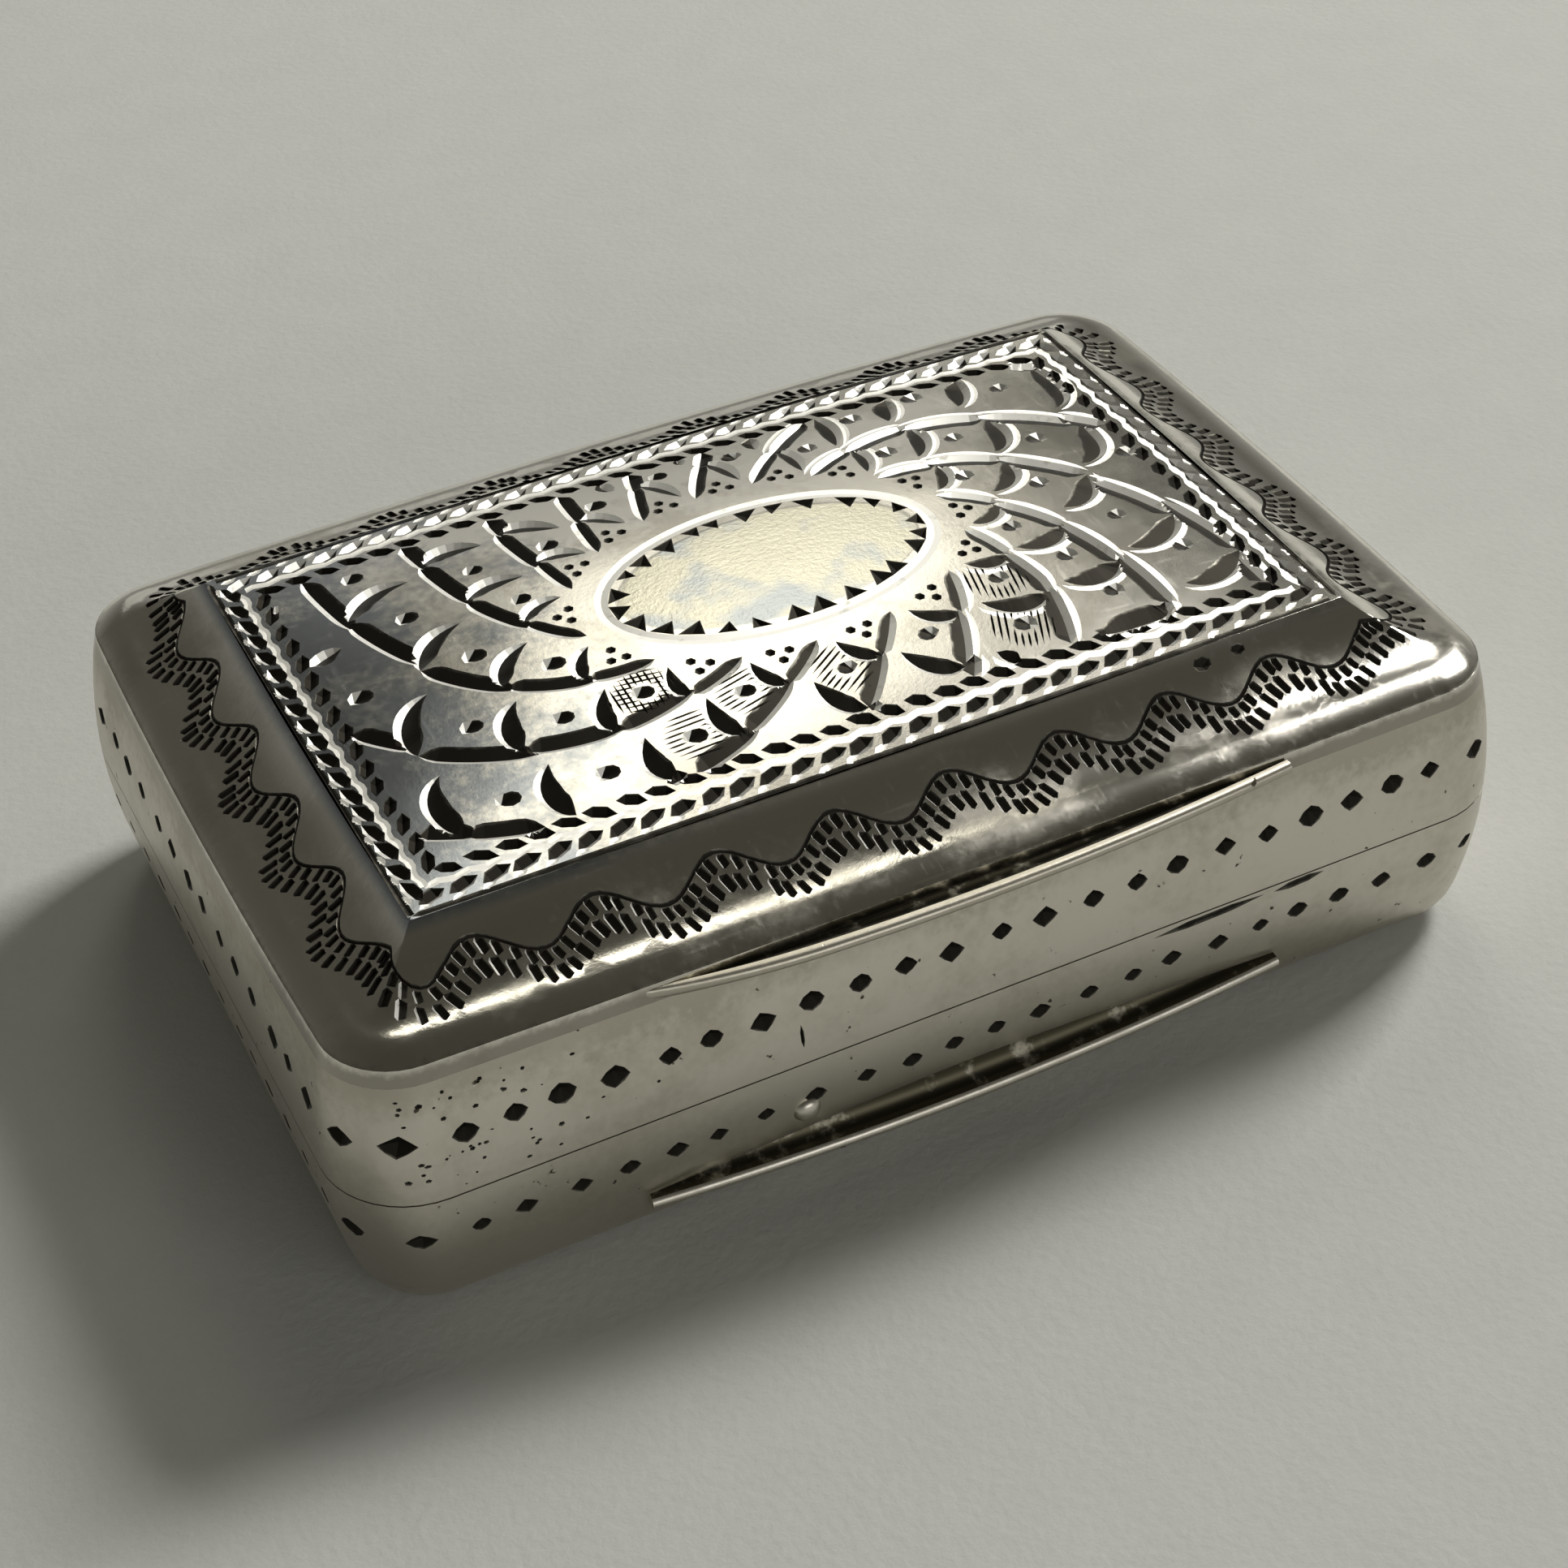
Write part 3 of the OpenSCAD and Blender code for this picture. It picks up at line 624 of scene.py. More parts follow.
class Skin:
    """The sheets, strips and caps of one piece, before they are joined."""

    def __init__(self):
        self.points, self.faces, self.normals, self.looks, self.depths = [], [], [], [], []

    def take(self, points, faces, normals, looks, depths=None):
        start = sum(len(p) for p in self.points)
        self.points.append(np.asarray(points, float))
        self.faces += [tuple(start + i for i in f) for f in faces]
        self.normals += [tuple(n) for n in normals]
        self.looks += list(looks)
        self.depths.append(np.zeros(len(points)) if depths is None else depths)

    def rows(self, rows, look, closed=True):
        """A strip of quads between rows of points, smooth along and across."""
        rows = np.asarray(rows, float)
        count, n = rows.shape[:2]
        if closed:
            along = np.roll(rows, -1, 1) - np.roll(rows, 1, 1)
        else:
            along = np.gradient(rows, axis=1)
        up = np.gradient(rows, axis=0)
        flat, faces, normals = unit(np.cross(along, up)).reshape(-1, 3), [], []
        for r in range(count - 1):
            for k in range(n if closed else n - 1):
                a, b = r * n + k, r * n + (k + 1) % n
                faces.append((a, b, b + n, a + n))
                normals += [flat[i] for i in faces[-1]]
        self.take(rows.reshape(-1, 3), faces, normals, [look] * len(faces))

    def cap(self, ring, look, facing, step):
        """One flat face on a ring of points, taken in order or, with step -1, backwards."""
        self.take(ring, [tuple(range(len(ring)))[::step]], [facing] * len(ring), [look])

    def sheet(self, outline, cuts, spare, seams, place, normal, looks, flip=False):
        """Triangulates a flat outline with its cuts, and puts it in place."""
        flat = list(map(tuple, outline))
        ring = [(i, (i + 1) % len(flat)) for i in range(len(flat))]
        first = len(flat)
        flat += cuts.points
        edges = ring + [(a + first, b + first) for a, b in cuts.edges]
        for a, b in seams:
            edges.append((len(flat), len(flat) + 1))
            flat += [a, b]
        flat += list(map(tuple, spare))
        made = delaunay_2d_cdt([Vector(p) for p in flat], edges, [], 1, TINY, False)
        spots = np.array([(p.x, p.y) for p in made[0]])
        corners = np.array([tuple(f) for f in made[2]])
        corners = corners[within(outline, spots[corners].mean(1))]
        faces, middles = [tuple(f) for f in corners.tolist()], spots[corners].mean(1)
        depths = depth_at(cuts, spots)[0]
        sunk, flash = depth_at(cuts, middles)
        is_cut = sunk > TINY
        points = place(spots[:, 0], spots[:, 1], depths)
        # Normals are read a little inside each triangle, so that none lies on a crease
        nudged = spots[corners] + NUDGE * (middles[:, None] - spots[corners])
        smooth = normal(nudged[..., 0].ravel(), nudged[..., 1].ravel()).reshape(-1, 3, 3)
        tri = points[corners]
        facet = unit(np.cross(tri[:, 1] - tri[:, 0], tri[:, 2] - tri[:, 0]))
        facing = np.where(is_cut[:, None, None], facet[:, None], smooth)
        if flip:
            faces = [f[::-1] for f in faces]
            facing = -facing[:, ::-1]
        look = np.where(is_cut, np.where(flash, looks[2], looks[1]), looks[0])
        self.take(points, faces, facing.reshape(-1, 3), look, depths)


print("skin tools ready")


# %% One mesh from a skin
def stand(name, data):
    """Puts a new object into the scene."""
    made = bpy.data.objects.new(name, data)
    bpy.context.scene.collection.objects.link(made)
    return made


def build(skin, name, finishes, body, nodes, shape=None):
    """Makes a skin into a mesh with its own normals, and puts it on its body."""
    points = np.concatenate(skin.points)
    depths = np.concatenate(skin.depths)
    keep, same = np.unique(weld(points), return_inverse=True)
    points, depths = points[keep], depths[keep]
    faces, normals, looks, at = [], [], [], 0
    for face, look in zip(skin.faces, skin.looks):
        ids = tuple(int(same[i]) for i in face)
        if len(set(ids)) == len(ids):
            faces.append(ids)
            normals += skin.normals[at : at + len(ids)]
            looks.append(int(look))
        at += len(face)
    if shape:
        points = shape(points)
    mesh = bpy.data.meshes.new(name)
    mesh.from_pydata((points * MM).tolist(), [], faces)
    sunk = mesh.attributes.new("depth", "FLOAT", "POINT")
    sunk.data.foreach_set("value", depths.astype(np.float32))
    for finish in finishes:
        mesh.materials.append(finish.material)
    mesh.polygons.foreach_set("material_index", np.array(looks, np.int32))
    mesh.shade_smooth()
    crease = mesh.attributes.new("sharp_edge", "BOOLEAN", "EDGE")
    crease.data.foreach_set("value", creases(mesh, faces, np.array(normals)))
    mesh.normals_split_custom_set([tuple(map(float, n)) for n in normals])
    piece = stand(name, mesh)
    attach(piece, body)
    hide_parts(*nodes)
    print(name, "has", len(faces), "faces")


print("a millimetre is", MM, "m in Blender")

# %% [markdown]
# ## Not quite straight
# The lid was hammered up by eye. Its sides bow out a little, and its panel sits nearer the hinge.
# A lattice could bend the finished piece, but two short formulas move the points with nothing left
# to apply, and they can be shared by the wall and the plate so that the two still meet.


# %% Bow of the sides and shift of the panel
def bowed(p):
    """The sides of a hand-made lid bow out a little between its corners."""
    x, y, z = p[:, 0].copy(), p[:, 1].copy(), p[:, 2]
    lift = np.clip((z - SEAM_Z) / LID_H, 0, 1) ** 2
    across = np.where(y > 0, 0.5, 0.2) * np.clip(1 - (x / 18) ** 2, 0, 1)
    along = 0.25 * np.clip(1 - (y / 12) ** 2, 0, 1)
    return np.stack([x + along * x / RIM_X * lift, y + across * y / RIM_Y * lift, z], -1)


def lid_shape(p):
    """The raised panel sits a little nearer the hinge than the middle of the rim."""
    inward = np.clip(-rim_offset(p[:, 0], p[:, 1]) / MARGIN, 0, 1)
    ease = inward * inward * (3 - 2 * inward) * (p[:, 2] > RIM_Z - SHEET - 0.1)
    return bowed(p + np.stack([0 * ease, PANEL_SHIFT * ease, 0 * ease], -1))


print("panel shifted by", PANEL_SHIFT, "mm")

# %% [markdown]
# ## The cartouche
# In the middle of the lid is an oval left plain for the owner's initials, here vacant. A faint
# band is cut round it and painted as a highlight, and inside the band the graver rocked a row of
# little wedges. Equal angles would crowd them at the oval's ends, so the line is measured first
# and shared out by length.

# %% Oval and its wedges
lid_cuts = Engraving()
turns = np.linspace(0, 2 * math.pi, 721)
oval_line = np.stack([OVAL_A * np.cos(turns), OVAL_B * np.sin(turns)], -1)
walked = np.concatenate([[0], np.cumsum(np.hypot(*np.diff(oval_line, axis=0).T))])


def on_oval(share, out):
    """A point a share of the way round the oval and a distance out from it, and the way out."""
    a = np.interp(share % 1.0 * walked[-1], walked, turns)
    way = unit(np.array([math.cos(a) / OVAL_A, math.sin(a) / OVAL_B]))
    spot = np.array([OVAL_X + OVAL_A * math.cos(a), OVAL_Y + OVAL_B * math.sin(a)])
    return spot + out * way, way


band, BAND_STEPS, BAND_HALF = [], 96, 0.2
for k in range(BAND_STEPS):
    p, way = on_oval(k / BAND_STEPS, -0.14)
    band.append((p - BAND_HALF * way, p, p + BAND_HALF * way, 0.03))
# Both flanks of the band round the oval are painted as a highlight.
lid_cuts.groove(band, (0, 2), closed=True)
WEDGES = 26
for k in range(WEDGES):
    size = dice.uniform(0.75, 1.2)
    base, way = on_oval((k + dice.uniform(-0.2, 0.2)) / WEDGES, -0.37)
    side = left_of(way)
    point = base - way * 0.58 * size + side * dice.uniform(-0.2, 0.2)
    half = side * 0.36 * size
    low = base - 0.16 * way
    lid_cuts.groove([tip(base + half), (base, low, point, 0.13), tip(base - half)])
print("wedges round the oval:", WEDGES)

# %% [markdown]
# ## Fish scales
# From the oval, rings of pointed scales grow outwards, each ring about half a scale over from the
# last. Every scale has a long cut on its left shoulder, which runs on into the next scale's and
# makes the field swirl, and a fat crescent on its right. A dot goes in the middle, or three small
# ones next to the oval. Each big dot has a painted highlight on its outer side, and on the right of
# the lid a thin faint line beside each cut is painted as a highlight. Straight lines out of an oval
# would fan too wide at its ends, so the lanes follow the hyperbolas that belong to the oval: they
# leave it squarely and bend together as they go out.

# %% Lanes round the oval
LANES, DRIFT = 15, 0.45
HAND = ([0, 5, 7, 9.5, 12, 13.3, 15], [0, 0, -0.12, -0.27, 0, 0.26, 0])
TIPS = [0.85, 2.05, 3.65, 5.25, 7.0, 8.7, 10.4]
FIELD_X, FIELD_Y = 12.85, 6.82
FOCUS = math.sqrt(OVAL_A**2 - OVAL_B**2)


def in_field(p):
    return abs(p[0]) < FIELD_X and abs(p[1]) < FIELD_Y


def on_lane(lane, out):
    """A point in a lane, a distance out from the oval. HAND is how far the hand's lanes stray."""
    s = (lane + np.interp(lane % LANES, *HAND)) / LANES
    s += 0.0156 * math.cos(2 * math.pi * (s - 0.925))
    a = np.interp(s % 1.0 * walked[-1], walked, turns)
    wide = 1 + 0.45 * max(0.0, math.sin(a))
    level = math.acosh((OVAL_A + out) / FOCUS) * math.cos(a) ** 2
    level += math.asinh((OVAL_B + out * wide) / FOCUS) * math.sin(a) ** 2
    spot = (FOCUS * math.cosh(level) * math.cos(a), FOCUS * math.sinh(level) * math.sin(a))
    return np.array([OVAL_X + spot[0], OVAL_Y + spot[1]])


print("lanes:", LANES, "focus of the oval", round(FOCUS, 2), "mm")

# %% Cuts of one scale
LONG_CUT, CRESCENT = (0.46, 0.13, 0.3), (0.56, 0.16, 0.5)
# BRIGHT_W is the flank painted as a highlight; the other two size a thin line painted as a
# highlight.
BRIGHT_W, PAINTED_EDGE_W, PAINTED_EDGE_DEPTH = 0.21, 0.11, 0.012


def shoulder(path, side, grown, cut, painted_edge_light):
    """A cut along one shoulder of a scale: wide and dark inside, steep outside with a painted
    highlight. cut is its width, its depth and the share of it that tapers. The last argument adds a
    thin faint cut beside it, painted as a highlight on both flanks."""
    path = np.array([p for p in path if in_field(p)])
    if len(path) < 3:
        return
    run = np.concatenate([[0], np.cumsum(np.hypot(*np.diff(path, axis=0).T))])
    if run[-1] < 0.3:
        return
    even = np.linspace(0, run[-1], max(5, min(15, round(run[-1] / 0.2))))
    path = np.stack([np.interp(even, run, path[:, 0]), np.interp(even, run, path[:, 1])], -1)
    way = unit(np.gradient(path, axis=0))
    inward = side * np.stack([way[:, 1], -way[:, 0]], -1)
    width, depth, taper = min(cut[0] * grown, 0.4 * run[-1]), cut[1] * grown, cut[2]
    shares, stations = np.linspace(0, 1, len(path)), []
    for p, i, share in zip(path, inward, shares):
        swell = max(0, min(1.0, share / taper, (1 - share) / (0.6 * taper)))
        swell = math.sin(swell * math.pi / 2) ** 0.8
        if swell <= 0.01:
            stations.append(tip(p))
        else:
            stations.append((p - BRIGHT_W * swell * i, p, p + width * swell * i, depth * swell))
    lid_cuts.groove(stations, (0,))
    # A faint cut just outside the flank, both of whose flanks are painted as a highlight.
    if painted_edge_light:
        edge, swell = path - BRIGHT_W * inward, PAINTED_EDGE_W * np.sin(np.pi * shares) ** 0.5
        line = []
        for p, i, w in zip(edge, inward, swell):
            if w > 0.01:
                line.append((p - 2 * w * i, p - w * i, p, PAINTED_EDGE_DEPTH))
        lid_cuts.groove([tip(edge[0]), *line, tip(edge[-1])], (0, 2))


def hatch(middle, way, turn, length=1.05, width=0.95, pitch=0.19, clear=0.34):
    """Fine parallel lines over a scale, left out round its dot."""
    side, c, s = left_of(way), math.cos(turn), math.sin(turn)
    for off in np.arange(-length, length, pitch):
        half = width * math.sqrt(max(0.0, 1 - (off / length) ** 2))
        gap = math.sqrt(max(0.0, clear**2 - off**2))
        for e0, e1 in ((-half, -gap), (gap, half)) if gap else ((-half, half),):
            ends = [middle + way * (off * c - e * s) + side * (off * s + e * c) for e in (e0, e1)]
            if e1 - e0 > 0.15 and all(in_field(e) for e in ends):
                lid_cuts.stroke(ends[0], ends[1], 0.08, 0.06)


print("a long cut is", LONG_CUT[0], "mm wide, a crescent", CRESCENT[0], "mm")

# %% Rings of scales
scales = hatched = 0
for ring in range(1, len(TIPS)):
    for lane in range(LANES):
        centre = lane + 0.18 - DRIFT * (ring - 2) + dice.uniform(-0.05, 0.05)
        low, tall = TIPS[ring - 1], TIPS[ring] - TIPS[ring - 1]
        grown = min(1.0, 0.45 + 0.2 * ring)
        steps = np.linspace(0, 1, 40)
        long_cut, crescent = [], []
        for v in steps * 1.12 - 0.12:
            long_cut.append(on_lane(centre + 0.42 - DRIFT * v, max(0.1, low + tall * v)))
        for a in math.pi / 2 * steps:
            out = low + tall * (0.1 + 0.9 * math.sin(a))
            crescent.append(on_lane(centre - 0.03 - 0.35 * math.cos(a), out))
        # Only cuts on the right of the lid get the painted highlight line.
        shoulder(long_cut, 1, grown, LONG_CUT, painted_edge_light=long_cut[20][0] > 2.5)
        shoulder(crescent, -1, grown, CRESCENT, painted_edge_light=crescent[20][0] > 4)
        middle = on_lane(centre, low)
        way = unit(on_lane(centre, low + 0.1) - middle)
        side = left_of(way)
        if not (in_field(middle + 0.35 * way) and in_field(middle - 0.35 * way)):
            continue
        scales += 1
        if ring == 1:
            for back, over in ((-0.1, -0.28), (-0.08, 0.26), (0.28, 0.0)):
                lid_cuts.pit(middle + back * way + over * side, (0.16, 0.16), 0.1, 6)
        else:
            # Each dot's outer side, right on the right half and left on the left, is painted as a
            # highlight.
            r, glint = dice.uniform(0.26, 0.32), np.array([np.sign(middle[0]), 0.3])
            turn = dice.uniform(0, 1)
            lid_cuts.pit(middle, (r, r * 0.9), 0.17, 9, turn, 0.8 * r * glint, glint=glint)
            if middle[1] < -2.2 and middle[0] < 6 and dice.random() < 0.75:
                hatch(middle, way, 0.6)
                hatched += 1
                if middle[0] < -5:
                    hatch(middle, way, -0.8)
print("whole scales:", scales, "hatched:", hatched)

# %% [markdown]
# ## Rope border
# A rope frames the field: a row of slanting cuts outside, a row of shorter ones inside, and the
# ridge between them wriggles like a cord. The shine of that cord, of the outer cuts and of a row of
# beads outside them is a painted highlight on faint cuts. The rows stop at the corners and start
# again. One cut could be copied by an Array modifier, but a hand never cuts the same twice, so each
# is drawn.


# %% Two rows of slanting cuts
def sides(half_x, half_y):
    """The four sides of a rectangle: half of its run, its distance out and its turn."""
    for turn, (c, s) in enumerate(((1, 0), (0, 1), (-1, 0), (0, -1))):
        run, off = (half_y, half_x) if turn % 2 else (half_x, half_y)
        yield run, off, np.array([[c, -s], [s, c]])


ROPE_PITCH = 0.88


def border(half_x, half_y, length, lean, width, depth, bright=()):
    """Slanting cuts along the four sides of a rectangle, each a little different."""
    made = 0
    for run, off, spin in sides(half_x, half_y):
        n = round(2 * run / ROPE_PITCH)
        for k in range(n):
            t = -run + 2 * run * (k + 0.5) / n + dice.uniform(-0.05, 0.05)
            a, b = lean + dice.uniform(-0.1, 0.1), length * dice.uniform(0.9, 1.1)
            d = np.array([math.cos(a), math.sin(a)]) * b / 2
            mid = np.array([t, -off + dice.uniform(-0.03, 0.03)])
            wide = width * dice.uniform(0.9, 1.1)
            lid_cuts.stroke(spin @ (mid - d), spin @ (mid + d), wide, depth, 0.6, bright)
            made += 1
    return made


def frame_line(half_x, half_y, wide, depth, wriggle=0.0, bright=()):
    """A line round the panel, straight or wriggling in step with the rope."""
    for run, off, spin in sides(half_x, half_y):
        cord = []
        for k, along in enumerate(np.arange(-run, run, ROPE_PITCH / 4)):
            mid = np.array([along, -off + wriggle * math.sin(2 * math.pi * along / ROPE_PITCH)])
            edges = [spin @ (mid + [0, wide]), spin @ mid, spin @ (mid - [0, wide])]
            cord.append((*edges, depth if k else 0))
        lid_cuts.groove(cord, bright)


# The outer row's right flanks, the faint dashes outside it and the faint wriggling line between the
# rows are painted as highlights.
cuts = border(13.74, 7.78, length=0.95, lean=0.34, width=0.5, depth=0.15, bright=(2,))
cuts += border(12.98, 7.0, length=0.9, lean=-0.4, width=0.44, depth=0.14)
cuts += border(14.0, 8.1, length=0.5, lean=0.3, width=0.22, depth=0.02, bright=(0, 2))
frame_line(13.4, 7.38, wide=0.12, depth=0.012, wriggle=0.06, bright=(0, 2))
frame_line(14.08, 8.28, wide=0.1, depth=0.03)
print("cuts in the border:", cuts)

# %% [markdown]
# ## Wriggle work
# Round the hollow margin runs a wave of dense short strokes in two rows, under one thin line. The
# tool is walked along from one corner to the other while it rocks, so the strokes fan out over each
# crest. They lie in the same sheet as the scales, which keeps the lid one mesh.

# %% Wave of strokes round the margin
wave_walk = Walk(RIM_X - 1.75, RIM_Y - 1.75, 1.5)
crests = round(wave_walk.length / 3.5)


def wave_at(s, off, swing):
    """A point on the wave, the way out there, and the wave's slope."""
    phase = 2 * math.pi * crests * s / wave_walk.length
    spot, out = wave_walk.at(s)
    return spot + out * (off + swing * math.sin(phase)), out, math.cos(phase)


made = 0
# Each row's place, swing, length of stroke, width of stroke and pitch
OUTER_ROW, INNER_ROW = (0.3, 0.38, 0.56, 0.3, 0.36), (-0.22, 0.4, 0.42, 0.28, 0.34)
for off, swing, size, width, pitch in (OUTER_ROW, INNER_ROW):
    strokes = round(wave_walk.length / pitch)
    for k in range(strokes):
        s = (k + dice.uniform(-0.14, 0.14)) * wave_walk.length / strokes
        spot, out, slope = wave_at(s, off, swing)
        way = unit(out + left_of(out) * (0.25 - 0.25 * slope))
        way = way * size * dice.uniform(0.85, 1.12) / 2
        width_now, depth = width * dice.uniform(0.85, 1.1), dice.uniform(0.09, 0.12)
        # Only on the front side does a stroke's right flank carry a painted highlight.
        flash = (2,) if out[1] < -0.7 else ()
        lid_cuts.stroke(spot - way, spot + way, width_now, depth, 0.72, flash, taper=0.14)
        made += 1
thread = []
for s in np.linspace(0, wave_walk.length, crests * 16, endpoint=False):
    spot, out, _ = wave_at(s, -0.48, 0.4)
    thread.append((spot - 0.06 * out, spot, spot + 0.06 * out, 0.05))
lid_cuts.groove(thread, closed=True)
OLD_DINGS = ((9.3, -8.75, 0.3), (10.5, -8.7, 0.24))
for x, y, r in OLD_DINGS:
    lid_cuts.pit((x, y), (r, 0.6 * r), 0.12, 7, 0.4)
print("strokes in the wave:", made)

# %% [markdown]
# ## The lid's plate
# All the cuts go into one sheet. Rows of spare points keep its triangles small where it curves. The
# crease round the panel and the four mitres at the corners are drawn as lines, so they stay sharp.
# An even grid would need millions of faces to hold cuts as crisp as these.

# %% Lid plate
stations = rim.stations(0.8)
rim_points, rim_out = rim.at(stations)


def loop(u, z):
    p = rim_points + rim_out * u
    return np.concatenate([p, np.full((len(p), 1), z)], 1)


spare = []
for inward in (0.08, 0.2, 0.36, 0.55, 0.75, 0.95, 1.2, 1.5, 1.8):
    spare += list(rim_points - rim_out * inward)
for inward in (2.2, 2.6, 2.95, 3.2):
    hx, hy = RIM_X - inward, RIM_Y - inward
    for t in np.linspace(-1, 1, 45):
        spare += [(hx * t, hy), (hx * t, -hy), (hx, hy * t), (-hx, hy * t)]
for i in range(-17, 18):
    for j in range(-10, 11):
        spare.append((i * PANEL_X / 17.6, j * PANEL_Y / 10.5))
spare = list(np.array(spare)[depth_at(lid_cuts, spare)[0] == 0])
seams = []
for sx, sy in ((1, 1), (-1, 1), (-1, -1), (1, -1)):
    seams.append(((sx * (RIM_X - CORNER), sy * (RIM_Y - CORNER)), (sx * PANEL_X, sy * PANEL_Y)))
for sign in (1, -1):
    seams.append(((-PANEL_X, sign * PANEL_Y), (PANEL_X, sign * PANEL_Y)))
    seams.append(((sign * PANEL_X, -PANEL_Y), (sign * PANEL_X, PANEL_Y)))


def on_lid(x, y, depth):
    return np.stack([x, y, lid_height(x, y) - depth], -1)


def under_lid(x, y, depth):
    return np.stack([x, y, lid_height(x, y) - SHEET], -1)


EDGE_IN = float(wall_u(EDGE_Z, SHEET))
lid_skin = Skin()
lid_skin.sheet(rim_points, lid_cuts, spare, seams, on_lid, lid_normal, (0, 1, 2))
inner = rim_points + rim_out * EDGE_IN
inner_spare = [p for p in spare if rim_offset(*p) < EDGE_IN - 0.1]
lid_skin.sheet(inner, Engraving(), inner_spare, seams, under_lid, lid_normal, (3, 3, 3), flip=True)
inner_top = under_lid(inner[:, 0], inner[:, 1], 0)
lid_skin.rows([inner_top, loop(EDGE_IN, EDGE_Z)], 3)
lid_skin.rows([loop(EDGE_IN, EDGE_Z), loop(float(wall_u(EDGE_Z)), EDGE_Z)], 0)
lid_skin.rows([loop(float(wall_u(z)), z) for z in np.linspace(EDGE_Z, RIM_Z, 4)], 0)
lid_finishes = (lid_silver, dark_cut, highlight_cut, gilt)
build(lid_skin, "engraved_lid", lid_finishes, "lid", ["lid_plate"], lid_shape)

# %% [markdown]
# ## Walls with punched dots
# Lid and base are each a strip of sheet bent round and soldered. A row of lozenge dots was punched
# along both. The strip is triangulated flat, with its dots, and then wrapped round the plan. At
# the back it stops short of the hinge. Boolean cuts on a bent wall would do the same, but slowly,
# and they would break up its smooth shading.


# %% Wrapping a strip round the box
def dots(cuts, z, pitch, size, depth):
    n = round(rim.length / pitch)
    for k in range(n):
        s = (k + 0.5 + dice.uniform(-0.1, 0.1)) * rim.length / n
        r = size * dice.uniform(0.82, 1.1)
        spot, turn = (s, z + dice.uniform(-0.06, 0.06)), dice.uniform(-0.2, 0.2)
        cuts.pit(spot, (r, r * 0.86), depth, 8, turn, (0.02, 0.04), dice.uniform(0.74, 0.9))
    return n


FRONT, HINGE_PLAY = rim.length / 2, 0.08


def wall(name, cuts, z0, z1, notch, body, node):
    """A wall from z0 to z1. notch is the height at which it makes room for the hinge."""
    side = HINGE_L / 2 + HINGE_PLAY
    s = np.sort(np.concatenate([stations, [side, rim.length - side]]))
    s = np.append(s, rim.length)
    low_is_cut = notch < (z0 + z1) / 2
    near_z, far_z = (z0, z1) if low_is_cut else (z1, z0)
    stepped, straight = [], [(t, far_z) for t in s]
    for t in s:
        heights = [notch if t < side or t > rim.length - side else near_z]
        if min(abs(t - side), abs(t - rim.length + side)) < 1e-9:
            heights = [notch, near_z] if t < FRONT else [near_z, notch]
        stepped += [(t, z) for z in heights]
    low, high = (stepped, straight) if low_is_cut else (straight, stepped)
    rise = np.linspace(low[-1][1], high[-1][1], 9)[1:-1]
    outline = low + [(s[-1], z) for z in rise] + high[::-1] + [(s[0], z) for z in rise[::-1]]
    outline = np.array(outline)

    def put(thick):
        def place(t, z, depth):
            p, out = rim.at(np.where(t > rim.length - 1e-7, 0, t))
            return np.concatenate([p + out * (wall_u(z, thick) - depth)[:, None], z[:, None]], 1)
        return place

    def normal(t, z):
        _, out = rim.at(np.clip(t, 0, rim.length - 1e-6))
        lean = (z - SEAM_Z) / np.sqrt(WALL_R**2 - (z - SEAM_Z) ** 2)
        return unit(np.concatenate([out, lean[:, None]], 1))

    grid = [(t, z) for t in s[1:-1] for z in np.linspace(z0, z1, 9)[1:-1]]
    grid = np.array(grid)[depth_at(cuts, grid)[0] == 0]
    clear = np.abs(grid[:, 0] - FRONT) < FRONT - side - 0.1
    kept = grid[:, 1] > notch + 0.05 if low_is_cut else grid[:, 1] < notch - 0.05
    grid = grid[clear | kept]
    skin = Skin()
    skin.sheet(outline, cuts, grid, [], put(0), normal, (0, 1, 2))
    skin.sheet(outline, Engraving(), grid, [], put(SHEET), normal, (3, 3, 3), flip=True)
    for edge, turned in ((np.array(low), False), (np.array(high), True)):
        rows = [put(thick)(edge[:, 0], edge[:, 1], 0) for thick in (SHEET, 0)]
        skin.rows(rows[::-1] if turned else rows, 0, closed=False)
    finishes = (plain, dark_cut, highlight_cut, gilt)
    build(skin, name, finishes, body, [node], bowed if body == "lid" else None)


print("hinge play", HINGE_PLAY, "mm")

# %% Dots, corrosion and two dark strokes at the seam
lid_dots, base_dots = Engraving(), Engraving()
DOT_PITCH, CORROSION = 1.42, 46
count = dots(lid_dots, 6.95, DOT_PITCH, 0.4, 0.19) + dots(base_dots, 3.5, DOT_PITCH, 0.33, 0.17)
lid_dots.stroke((FRONT - 5.35, 6.35), (FRONT - 5.3, 5.5), 0.12, 0.05)
for k in range(CORROSION):
    along = FRONT - 16.5 + abs(dice.gauss(0, 3.0))
    z = dice.choice((dice.uniform(5.2, 6.45), dice.uniform(7.45, 8.4)))
    r = dice.uniform(0.03, 0.1)
    lid_dots.pit((along, z), (r, dice.uniform(0.5, 1.0) * r), 0.04, 5, dice.uniform(0, 3))
# Two long, shallow dark strokes run along the base just under the seam, at the front right.
for s0, s1, z in ((5.6, 9.3, 4.7), (9.6, 11.3, 4.74)):
    base_dots.stroke((FRONT + s0, z - 0.06), (FRONT + s1, z + 0.03), 0.28, 0.03)
pocket = KNUCKLE_R + HINGE_PLAY
wall("lid_side", lid_dots, LID_Z, EDGE_Z, HINGE_Z + pocket, "lid", "lid_wall")
wall("base_side", base_dots, FOOT_Z, SEAM_Z, HINGE_Z - pocket, "base", "base_wall")
print("punched dots:", count)

